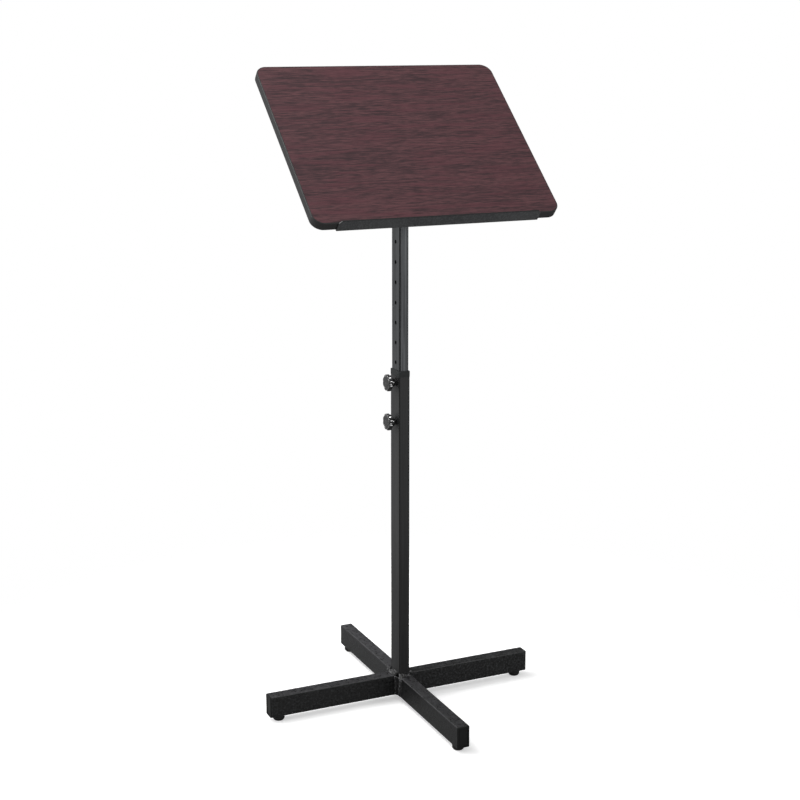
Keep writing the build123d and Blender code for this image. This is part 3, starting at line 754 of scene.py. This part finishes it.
def smooth_line(points, count):
    """A smooth line through a few points in millimetres, as many points as asked, evenly spaced.

    Between two neighbours the line is the Catmull-Rom cubic of the four nearest points.
    """
    points = np.array(points, float) * MM
    held = np.vstack([2 * points[0] - points[1], points, 2 * points[-1] - points[-2]])
    t = np.linspace(0, 1, 24)[:, None]
    parts = []
    for a, b, c, d in zip(held, held[1:], held[2:], held[3:]):
        parts.append(b + 0.5 * t * (c - a + t * (2 * a - 5 * b + 4 * c - d + t * (3 * b - a - 3 * c + d))))
    line = np.vstack(parts)
    place = np.concatenate([[0.0], np.cumsum(np.linalg.norm(np.diff(line, axis=0), axis=1))])
    wanted = np.linspace(0, place[-1], count)
    return np.stack([np.interp(wanted, place, line[:, axis]) for axis in range(line.shape[1])], -1)


def bead_rows(outline, back, along, shape, seed):
    """A rippled bead: an open outline of (u, v) points carried through the places along, in metres.

    At each place the outline is swollen away from the matching back points by a share of its own
    depth. The share falls to nearly nothing at both ends. Ripples add to the swelling: they are arcs,
    so their phase lags in the middle of the outline, and a fixed unevenness roughens them. The back
    points close the loop inside the metal.
    """
    count, across = len(along), len(outline)
    depth = np.linalg.norm(outline - back, axis=1)
    way = (outline - back) / depth[:, None]
    from_end = np.minimum(along - along[0], along[-1] - along)
    share = np.sqrt(np.clip(1 - (1 - np.clip(from_end / BEAD_TAPER, 0.02, 1.0)) ** 2, 0, 1))
    lag = 0.8 * np.sin(np.linspace(0, math.pi, across))
    drift = uneven(count, seed + 2, 6) * 0.5
    wave = np.abs(np.sin(math.pi * (along[:, None] / shape.weld_pitch + drift[:, None]) + lag)) ** 0.6
    lumps = uneven((count, across), seed, 2) * 0.8 + uneven((count, across), seed + 1, 7) * 1.2
    grow = shape.weld_ripple * (wave - 0.5 + lumps)
    size = share[:, None] * (depth[None, :] + grow * np.clip(depth / (2.0 * MM), 0.15, 1.0))
    front = back[None] + way[None] * size[..., None]
    behind = back - way * 0.4 * MM
    closed = np.concatenate([front, np.broadcast_to(behind[::-1], front.shape)], 1)
    return np.concatenate([closed, np.broadcast_to(along[:, None, None], (count, 2 * across, 1))], -1)


def crossing_beads(shape):
    """The beads in the four corners of the cross: one at a side leg's end, run into one over an end leg's.

    The outline is drawn in the corner where x and y are both positive, and mirrored to the others.
    """
    outline = smooth_line([(18.5, 12.0), (17.7, 14.4), (15.3, 16.3), (13.4, 16.7), (12.9, 17.6), (13.5, 19.4),
                           (14.6, 22.0), (14.9, 25.0), (14.2, 29.0), (12.0, 33.0)], 56)
    back = smooth_line([(18.0, 11.6), (15.0, 11.6), (11.2, 12.6), (10.2, 14.4), (10.0, 16.0), (10.4, 18.0),
                        (11.2, 20.0), (11.5, 24.0), (11.6, 29.0), (11.6, 32.0)], 56)
    height = np.linspace(LEG_LOW + 1.1 * MM, LEG_HIGH - 0.6 * MM, 110)
    mirrors = np.array([(1, 1, 1), (-1, 1, 1), (-1, -1, 1), (1, -1, 1)])
    return [skin(bead_rows(outline, back, height, shape, 11 + 5 * k) * mirror)
            for k, mirror in enumerate(mirrors)]


def foot_beads(shape):
    """The level bead on top of each leg, wider at one side, with its toe on the leg."""
    outline = smooth_line([(9.6, 0.0), (8.6, 1.5), (6.2, 2.9), (3.6, 3.6), (1.7, 4.4), (0.0, 5.2)], 30)
    back = smooth_line([(8.0, -0.4), (5.0, -0.4), (2.0, -0.4), (-0.4, 0.4), (-0.4, 2.6), (-0.4, 4.2)], 30)
    across = np.linspace(-LEG_HALF + 0.4 * MM, LEG_HALF - 0.4 * MM, 90)
    shells = []
    for k, (side, turn) in enumerate(SIDES.items()):
        distance = POST_HALF_Y if side in ("front", "rear") else POST_HALF_X
        rows = bead_rows(outline, back, across, shape, 61 + 5 * k)
        wide = 1.0 - 0.22 * rows[..., 2] / LEG_HALF
        placed = np.stack([rows[..., 2], -distance - rows[..., 0] * np.where(rows[..., 0] > 0, wide, 1),
                           LEG_HIGH + rows[..., 1]], -1)
        shells.append(skin(turned_z(placed, turn)))
    return shells


class LECTERN_OT_welds(Operator):
    """Makes the rippled weld beads in the cross and round the foot of the post."""

    bl_idname = "lectern.welds"
    bl_label = "Make the welds"

    def execute(self, context):
        shape, looks = context.scene.lectern_shape, context.scene.lectern_looks
        for name, shells, node in (("cross_weld_beads", crossing_beads(shape), "crossing_welds"),
                                   ("post_foot_beads", foot_beads(shape), "post_foot_welds")):
            material = weld_coat(f"powder_coat_{name}", looks)
            make_piece(name, shells, material, "base", node, sharp=80.0)
        return {"FINISHED"}


# ------------------------------------------------------------------ pieces of the post
class LECTERN_OT_posts(Operator):
    """Coats the two post tubes and finishes the nuts and plugs that go with them."""

    bl_idname = "lectern.posts"
    bl_label = "Coat the posts"

    def execute(self, context):
        looks = context.scene.lectern_looks
        for node, lift, metal in (("outer_post", 1.9, 0.0), ("inner_post", 17.0, 1.0)):
            dress(NODES[node], post_coat(f"powder_coat_{node}", node, looks, lift, metal))
        plug = moulded_plastic("post_plug_plastic", tuple(looks.cap), roughness=0.42, grain=700.0, depth=0.04)
        dress_nodes(("post_top_cap", "slider_plug"), plug)
        dress_nodes(("upper_weld_nut", "lower_weld_nut"), weld_coat("powder_coat_weld_nuts", looks))
        return {"FINISHED"}


class LECTERN_OT_guide_collar(Operator):
    """Makes the plastic guide over the mouth of the outer post."""

    bl_idname = "lectern.guide_collar"
    bl_label = "Make the guide collar"

    def execute(self, context):
        """A ring of rounded rectangles: up the skirt, over the round lip, down the mouth and back."""
        skirt, wall, plate = 9.0 * MM, 0.6 * MM, span("guide_collar", 2)[1] - POST_TOP
        post_x, post_y = 2 * POST_HALF_X, 2 * POST_HALF_Y
        mouth_x, mouth_y = 2 * MAST_HALF_X + 0.4 * MM, 2 * MAST_HALF_Y + 0.4 * MM
        levels = [(post_x + 2 * wall - 0.3 * MM, post_y + 2 * wall - 0.3 * MM, 2.4 * MM, -skirt),
                  (post_x + 2 * wall, post_y + 2 * wall, 2.6 * MM, -skirt + 0.3 * MM)]
        lip = 0.6 * MM
        for turn in np.linspace(0, math.pi / 2, 6):
            less = 2 * (wall - lip * (1 - math.cos(turn)))
            levels.append((post_x + less, post_y + less, 2.6 * MM - lip * (1 - math.cos(turn)),
                           plate - lip * (1 - math.sin(turn))))
        levels += [(mouth_x + 0.5 * MM, mouth_y + 0.5 * MM, 2.1 * MM, plate),
                   (mouth_x + 0.1 * MM, mouth_y + 0.1 * MM, 2.0 * MM, plate - 0.25 * MM),
                   (mouth_x, mouth_y, 2.0 * MM, plate - 0.5 * MM), (mouth_x, mouth_y, 2.0 * MM, 0.02 * MM),
                   (post_x, post_y, 2.0 * MM, 0.02 * MM), (post_x, post_y, 2.0 * MM, -skirt)]
        rows = lofted(rounded_loop, levels)
        rows[..., 2] += POST_TOP
        colour = shade(tuple(context.scene.lectern_looks.cap), 4.5)
        material = moulded_plastic("collar_plastic", colour, roughness=0.5, grain=500.0, depth=0.06,
                                   gloss=0.2, dust=0.08)
        shell = skin(rows, ring=True)
        make_piece("collar_guide", [shell], material, "base", "guide_collar")
        return {"FINISHED"}


# ------------------------------------------------------------------ knobs
def knob_rows(shape):
    """A fluted knob along +Z with its hub on z = 0.

    Each row has a radius and a height, and a share of the flutes. A flute is a smooth hollow: the
    radius loses depth * share * exp(-(angle from the flute / 10.5 degrees) ^ 2).
    """
    turns = full_turn(24 * shape.flutes)
    step = 2 * math.pi / shape.flutes
    off = np.degrees((turns + step / 2) % step - step / 2)
    hollow = np.exp(-(off / 10.5) ** 2)
    rows = [(7.0, 5.0, 0), (7.2, 4.8, 0), (7.2, 0.5, 0), (7.5, 0.1, 0), (7.9, 0.0, 0), (8.3, 0.15, 0),
            (8.5, 0.5, 0), (8.5, 3.6, 0), (8.6, 4.6, 0), (8.9, 5.3, 0), (9.6, 5.8, 0.05), (10.8, 6.05, 0.15),
            (12.6, 6.15, 0.35), (14.2, 6.25, 0.8), (15.1, 6.6, 0.95), (15.5, 7.2, 1.0), (15.6, 8.0, 1.0),
            (15.6, 10.0, 1.0), (15.6, 12.4, 1.0), (15.5, 13.1, 0.97), (15.1, 13.75, 0.9), (14.5, 14.15, 0.75),
            (13.8, 14.35, 0.5), (13.1, 14.4, 0.25), (12.6, 14.35, 0.1), (12.2, 14.15, 0), (11.95, 13.8, 0),
            (11.6, 13.65, 0), (10.6, 13.7, 0), (8.0, 13.95, 0), (5.0, 14.15, 0), (2.0, 14.25, 0)]
    radius, height, part = (np.array(column)[:, None] for column in zip(*rows))
    return polar_rows(radius * MM - shape.flute_depth * part * hollow, height * MM, turns)


class LECTERN_OT_knobs(Operator):
    """Makes the three fluted knobs and finishes their studs, inserts and washers."""

    bl_idname = "lectern.knobs"
    bl_label = "Make the knobs"

    def execute(self, context):
        rows = knob_rows(context.scene.lectern_shape)
        plastic = knob_plastic(context.scene.lectern_looks)
        for knob in KNOBS:
            node = f"{knob}_head"
            hub, middle = span(node, 0)[1], sum(span(node, 2)) / 2
            shell = skin(outward_x(rows, hub, middle))
            make_piece(f"{knob}_grip", [shell], plastic, knob, node, sharp=50.0)
        steel = plated_steel("plated_steel_studs", (0.55, 0.56, 0.57))
        dress_nodes(("upper_knob_stud", "lower_knob_stud"), steel)
        dress_nodes([f"{knob}_washer" for knob in KNOBS], steel)
        dress_nodes(["tilt_knob_insert"], plated_steel("brass_insert_metal", (0.70, 0.47, 0.18), 0.3))
        return {"FINISHED"}


# ------------------------------------------------------------------ pieces of the desk
class LECTERN_OT_desk_board(Operator):
    """Finishes the board, its wood-grain face and its backing sheet."""

    bl_idname = "lectern.desk_board"
    bl_label = "Finish the desk board"

    def execute(self, context):
        looks = context.scene.lectern_looks
        dress(NODES["desk_core"], particle_board())
        dress(NODES["desk_laminate"], wood_laminate(looks))
        dress(NODES["desk_backer"], backing_sheet(looks))
        return {"FINISHED"}


class LECTERN_OT_edge_band(Operator):
    """Makes the plastic band round the desk, with its tongue in the board."""

    bl_idname = "lectern.edge_band"
    bl_label = "Make the edge band"

    def execute(self, context):
        """A profile of (inset, height) pairs carried round the desk's outline.

        Each pair gives a rounded rectangle moved in by the inset, so the corners stay concentric.
        """
        round_edge, band = 1.5 * MM, 2.0 * MM
        middle = (DESK_BOTTOM + 0.5 * MM + DESK_TOP - 0.7 * MM) / 2
        profile = [(round_edge * (1 - math.sin(t)), DESK_BOTTOM + round_edge * (1 - math.cos(t)))
                   for t in np.linspace(0, math.pi / 2, 6)]
        profile += [(round_edge * (1 - math.cos(t)), DESK_TOP - round_edge * (1 - math.sin(t)))
                    for t in np.linspace(0, math.pi / 2, 6)]
        profile += [(band - 0.15 * MM, DESK_TOP), (band, DESK_TOP - 0.12 * MM), (band, middle + 0.9 * MM),
                    (band + 7.9 * MM, middle + 0.9 * MM), (band + 7.9 * MM, middle - 0.9 * MM),
                    (band, middle - 0.9 * MM), (band, DESK_BOTTOM + 0.12 * MM),
                    (band - 0.15 * MM, DESK_BOTTOM)]
        levels = [(2 * (DESK_HALF_X - inset), 2 * (DESK_HALF_Y - inset), DESK_CORNER - inset, z)
                  for inset, z in profile]
        rows = lofted(lambda x, y, corner: rounded_loop(x, y, corner, 28), levels)
        shell = skin(desk_place(rows), ring=True)
        material = edge_plastic(context.scene.lectern_looks)
        make_piece("desk_edging", [shell], material, "desk", "edge_band")
        return {"FINISHED"}


def bent_section(top):
    """Section of the book stop as (y, z) pairs for a lip of a given height, from the flange's end round."""
    thick = STOP_THICK
    front, low = -DESK_HALF_Y - thick, DESK_BOTTOM - thick
    soft, bend = 0.35 * MM, 2.4 * MM
    end = front + STOP_FLANGE
    section = [(end, DESK_BOTTOM - soft), (end - soft / 2, low + soft / 4), (end - 2 * soft, low),
               (front + 12 * MM, low)]
    section += [(front + bend * (1 - math.sin(t)), low + bend * (1 - math.cos(t)))
                for t in np.linspace(0, math.pi / 2, 8)]
    section += [(front, top - 3 * soft), (front, top - soft), (front + 0.3 * soft, top - 0.3 * soft),
                (front + soft, top), (front + thick - soft, top),
                (front + thick - 0.3 * soft, top - 0.3 * soft), (front + thick, top - soft),
                (front + thick, DESK_BOTTOM + 0.6 * MM),
                (front + thick + 0.2 * MM, DESK_BOTTOM + 0.1 * MM), (front + thick + 0.6 * MM, DESK_BOTTOM),
                (end - 2 * soft, DESK_BOTTOM)]
    return np.array(section)


class LECTERN_OT_book_stop(Operator):
    """Makes the bent steel strip that holds papers at the front edge of the desk."""

    bl_idname = "lectern.book_stop"
    bl_label = "Make the book stop"

    def execute(self, context):
        """The bent section is carried along X; near each end the lip is cut off at 45 degrees."""
        half, cut, soft = STOP_HALF_X, STOP_CUT, 0.3 * MM
        side = np.array([half, half - soft / 3, half - soft, half - cut / 2, half - cut + 0.8 * MM,
                         half - cut, half - cut - 0.8 * MM, 0.5 * half])
        x = np.concatenate([side, [0.0], -side[::-1]])
        edge = half - np.abs(x)
        lip = DESK_TOP + STOP_RISE - np.maximum(0.0, cut - edge)
        shrink = soft * (1 - np.sqrt(np.clip(1 - (1 - np.minimum(edge / soft, 1)) ** 2, 0, 1)))
        middle = np.array([-DESK_HALF_Y, DESK_BOTTOM]) - STOP_THICK / 2
        rows = []
        for place, top, less in zip(x, lip, shrink):
            section = bent_section(top)
            section = section + less * np.sign(middle - section) * 0.5
            rows.append(np.column_stack([np.full(len(section), place), section]))
        shell = skin(desk_place(np.array(rows)))
        material = post_coat("powder_coat_book_stop", "book_stop", context.scene.lectern_looks, lift=8.5)
        make_piece("book_stop_strip", [shell], material, "desk", "book_stop", sharp=30.0)
        return {"FINISHED"}


# ------------------------------------------------------------------ tilt hardware
def hex_radius(turns, across):
    """Radius of a hexagon at each angle, from its size across the flats."""
    step = math.pi / 3
    return across / 2 / np.cos((turns + step / 2) % step - step / 2)


def hex_head_rows(across, height, turns):
    """A hexagon along +Z whose outer corners are cut by a 30 degree cone, with a raised washer face."""
    corner = across / 2 / math.cos(math.pi / 6)
    hexagon = hex_radius(turns, across)
    z = np.array([0.0, 0.0, 0.06, 0.06, 0.5, 0.8, 0.88, 0.92, 0.96, 1.0, 1.0])[:, None] * height
    cone = corner + (height - z) * math.tan(math.radians(60)) - (corner - 0.47 * across)
    radius = np.minimum(hexagon, cone)
    radius[0], radius[1], radius[2] = 0.3 * across, 0.46 * across, 0.46 * across
    radius[-1] = 0.3 * across
    return polar_rows(radius, z, turns)


def threaded_rows(radius, start, end, pitch, turns):
    """A threaded rod along +Z: the radius falls by a rounded triangle wave that climbs one pitch a turn."""
    count = int((end - start) / pitch * 8) + 1
    z = np.linspace(start, end, count)[:, None]
    phase = (z / pitch - turns / (2 * math.pi)) % 1.0
    groove = 0.5 - 0.5 * np.cos(2 * math.pi * phase)
    ends = np.clip(np.minimum(z - start, end - z) / (0.8 * pitch), 0.0, 1.0)
    return polar_rows(radius - 0.55 * pitch * groove * ends - 0.35 * pitch * (1 - ends), z, turns)


class LECTERN_OT_tilt_bolts(Operator):
    """Makes the pivot bolt, its locking nut and the tilt lock bolt, with threads and cut corners."""

    bl_idname = "lectern.tilt_bolts"
    bl_label = "Make the tilt bolts"

    def execute(self, context):
        """Each piece is drawn along +Z from its own start, then laid along the pivot's line."""
        pitch = context.scene.lectern_shape.thread_pitch
        turns = full_turn(72)
        zinc = plated_steel("plated_steel_bolts", (0.52, 0.53, 0.55))
        x_low, x_high = span("pivot_bolt", 0)
        nut_low, nut_high = span("pivot_nut", 0)
        head_face, height = -nut_low, PIVOT[2]
        radius, flats = PIVOT_BOLT_RADIUS, PIVOT_BOLT_FLATS
        shank = [(radius, head_face - 0.5 * MM), (radius, nut_low)]
        thread = threaded_rows(radius, nut_low - 0.5 * MM, x_high, pitch, turns)
        bolt = [skin(outward_x(hex_head_rows(flats, head_face - x_low, turns), head_face, height)),
                skin(along_x(lathe_rows(shank, turns), 0.0, height)),
                skin(along_x(thread, 0.0, height))]
        make_piece("tilt_pivot_bolt", bolt, zinc, "mast", "pivot_bolt", sharp=32.0)

        body = 0.72 * (nut_high - nut_low)
        crown = np.array([(4.3, -0.6), (6.0, -0.6), (6.0, 0.9), (5.7, 1.7), (5.0, 2.1), (4.3, 2.1)]) * MM
        nut = [skin(along_x(hex_head_rows(flats, body, turns), nut_low, height)),
               skin(along_x(lathe_rows(crown, turns), nut_low + body, height), ring=True)]
        make_piece("tilt_pivot_nut", nut, zinc, "mast", "pivot_nut", sharp=32.0)

        low, high = span("tilt_lock_bolt", 0)
        level = sum(span("tilt_lock_bolt", 2)) / 2
        radius, head = LOCK_BOLT_RADIUS, high - LOCK_HEAD
        flange = np.array([(3.0, -1.2), (6.9, -1.2), (7.0, -1.0), (7.0, -0.5), (6.4, -0.15), (4.6, 0.0)]) * MM
        shank = [(radius, -EAR_OUTSIDE + 0.5 * MM), (radius, head - 0.5 * MM)]
        thread = threaded_rows(radius, low, -EAR_OUTSIDE + 1.0 * MM, 0.8 * pitch, turns)
        lock = [skin(along_x(lathe_rows(flange, turns), head, level)),
                skin(along_x(hex_head_rows(LOCK_BOLT_FLATS, LOCK_HEAD, turns), head, level)),
                skin(along_x(lathe_rows(shank, turns), 0.0, level)),
                skin(along_x(thread, 0.0, level))]
        make_piece("tilt_clamp_bolt", lock, zinc, "mast", "tilt_lock_bolt", sharp=32.0)
        return {"FINISHED"}


class LECTERN_OT_tilt_bracket(Operator):
    """Coats the tilt bracket and its plate, and finishes the washers and screws."""

    bl_idname = "lectern.tilt_bracket"
    bl_label = "Finish the tilt bracket"

    def execute(self, context):
        looks = context.scene.lectern_looks
        for node in ("mount_plate", "tilt_bracket", "bracket_welds"):
            dress(NODES[node], leg_coat(f"powder_coat_{node}", node, looks))
        screws = plated_steel("plated_steel_screws", (0.42, 0.42, 0.43), 0.38)
        dress_nodes(("pivot_washers", "plate_screws", "book_stop_screws"), screws)
        nylon = moulded_plastic("nylon_washer_white", (0.62, 0.60, 0.54), roughness=0.4, grain=600.0,
                                depth=0.02)
        dress_nodes(["friction_washers"], nylon)
        return {"FINISHED"}


# ------------------------------------------------------------------ stage
SOFTBOXES = {        # place, height aimed at on the Z axis, width, height and power in watts
    "left_softbox": ((-2.9, 1.5, 1.7), 0.5, 1.4, 1.8, 45.0),
    "right_softbox": ((1.45, -3.1, 1.5), 0.6, 0.34, 0.95, 20.0),
    "top_softbox": ((-1.3, 0.9, 3.4), 0.3, 2.2, 2.2, 85.0)}
BACKDROP = (0.75, 0.66, 0.0)     # the way to the dark end of the studio, right of and behind the lectern
BACKDROP_TONE, BACKDROP_SOFTNESS = 0.25, (0.15, 0.85)
SURROUNDINGS = 0.53              # strength of the light from the surroundings
CAMERA_PLACE = (-1.15667, -2.52353, 1.24429)
CAMERA_TURN = (76.577, 0.0, -24.618)
CAMERA_LENS, CAMERA_SENSOR = 70.34, 36.0


def softbox(name, place, aim, width, height, watts):
    """A rectangular area light at a place, turned towards a height on the Z axis."""
    data = bpy.data.lights.new(name, "AREA")
    data.shape, data.size, data.size_y = "RECTANGLE", width, height
    data.energy = watts
    light = bpy.data.objects.new(name, data)
    light.location = place
    towards = np.array((0.0, 0.0, aim)) - np.array(place)
    turn = math.atan2(towards[0], -towards[1])
    drop = math.atan2(math.hypot(towards[0], towards[1]), -towards[2])
    light.rotation_euler = (drop, 0.0, turn + math.pi)
    light.visible_camera = False
    bpy.context.scene.collection.objects.link(light)


def surroundings():
    """White where the camera looks past the lectern; its light is dimmer, and dark towards the backdrop.

    The darkness follows the dot product of the direction with the way to the backdrop.
    """
    world = bpy.data.worlds.new("studio_surroundings")
    sky = Graph(world, "World")
    way = sky.node("TexCoord", output="Generated")
    ahead = sky.node("VectorMath", {"operation": "DOT_PRODUCT"}, {0: way, 1: BACKDROP}, output="Value")
    colour = sky.mix(ahead.ramp(*BACKDROP_SOFTNESS), grey(1.0), grey(BACKDROP_TONE))
    lighting = sky.node("Background", None, {"Color": colour, "Strength": SURROUNDINGS})
    seen = sky.node("Background", None, {"Color": grey(1.0), "Strength": 1.0})
    camera_ray = sky.node("LightPath", output="Is Camera Ray")
    sky.join(sky.node("MixShader", None, {0: camera_ray, 1: lighting, 2: seen}), sky.surface)
    return world


class LECTERN_OT_stage(Operator):
    """Sets the pale floor, the soft lights, the surroundings and the camera."""

    bl_idname = "lectern.stage"
    bl_label = "Set the stage"

    def execute(self, context):
        scene = context.scene
        floor = solid("studio_floor", [skin(lathe_rows([(3.0, -0.02), (3.0, 0.0)], full_turn(96)))])
        dress(floor, studio_floor())
        for name, numbers in SOFTBOXES.items():
            softbox(name, *numbers)
        scene.world = surroundings()
        scene.view_settings.view_transform = "Standard"

        data = bpy.data.cameras.new("viewpoint")
        data.sensor_width, data.lens, data.clip_end = CAMERA_SENSOR, CAMERA_LENS, 100.0
        camera = bpy.data.objects.new("viewpoint", data)
        camera.location = CAMERA_PLACE
        camera.rotation_euler = [math.radians(turn) for turn in CAMERA_TURN]
        scene.collection.objects.link(camera)
        scene.camera = camera
        return {"FINISHED"}


class LECTERN_PT_sidebar(Panel):
    """Lists the builders, sizes and colours of the lectern."""

    bl_idname = "LECTERN_PT_sidebar"
    bl_label = "Lectern"
    bl_space_type = "VIEW_3D"
    bl_region_type = "UI"
    bl_category = "Lectern"

    def draw(self, context):
        for operator in OPERATORS:
            self.layout.operator(operator.bl_idname)
        for group in (context.scene.lectern_shape, context.scene.lectern_looks):
            column = self.layout.column()
            for name in group.__annotations__:
                column.prop(group, name)


OPERATORS = (LECTERN_OT_stage, LECTERN_OT_legs, LECTERN_OT_end_caps, LECTERN_OT_glides, LECTERN_OT_welds,
             LECTERN_OT_posts, LECTERN_OT_guide_collar, LECTERN_OT_knobs, LECTERN_OT_desk_board,
             LECTERN_OT_edge_band, LECTERN_OT_book_stop, LECTERN_OT_tilt_bolts, LECTERN_OT_tilt_bracket)
CLASSES = (LecternShape, LecternLooks, *OPERATORS, LECTERN_PT_sidebar)


def register():
    """Registers every class and hangs the two property groups on the scene."""
    for item in CLASSES:
        bpy.utils.register_class(item)
    bpy.types.Scene.lectern_shape = PointerProperty(type=LecternShape)
    bpy.types.Scene.lectern_looks = PointerProperty(type=LecternLooks)


def unregister():
    """Takes everything away again."""
    del bpy.types.Scene.lectern_looks
    del bpy.types.Scene.lectern_shape
    for item in reversed(CLASSES):
        bpy.utils.unregister_class(item)


def main():
    """Builds the lectern."""
    register()
    for operator in OPERATORS:
        group, name = operator.bl_idname.split(".")
        getattr(getattr(bpy.ops, group), name)()


if __name__ == "__main__":
    main()
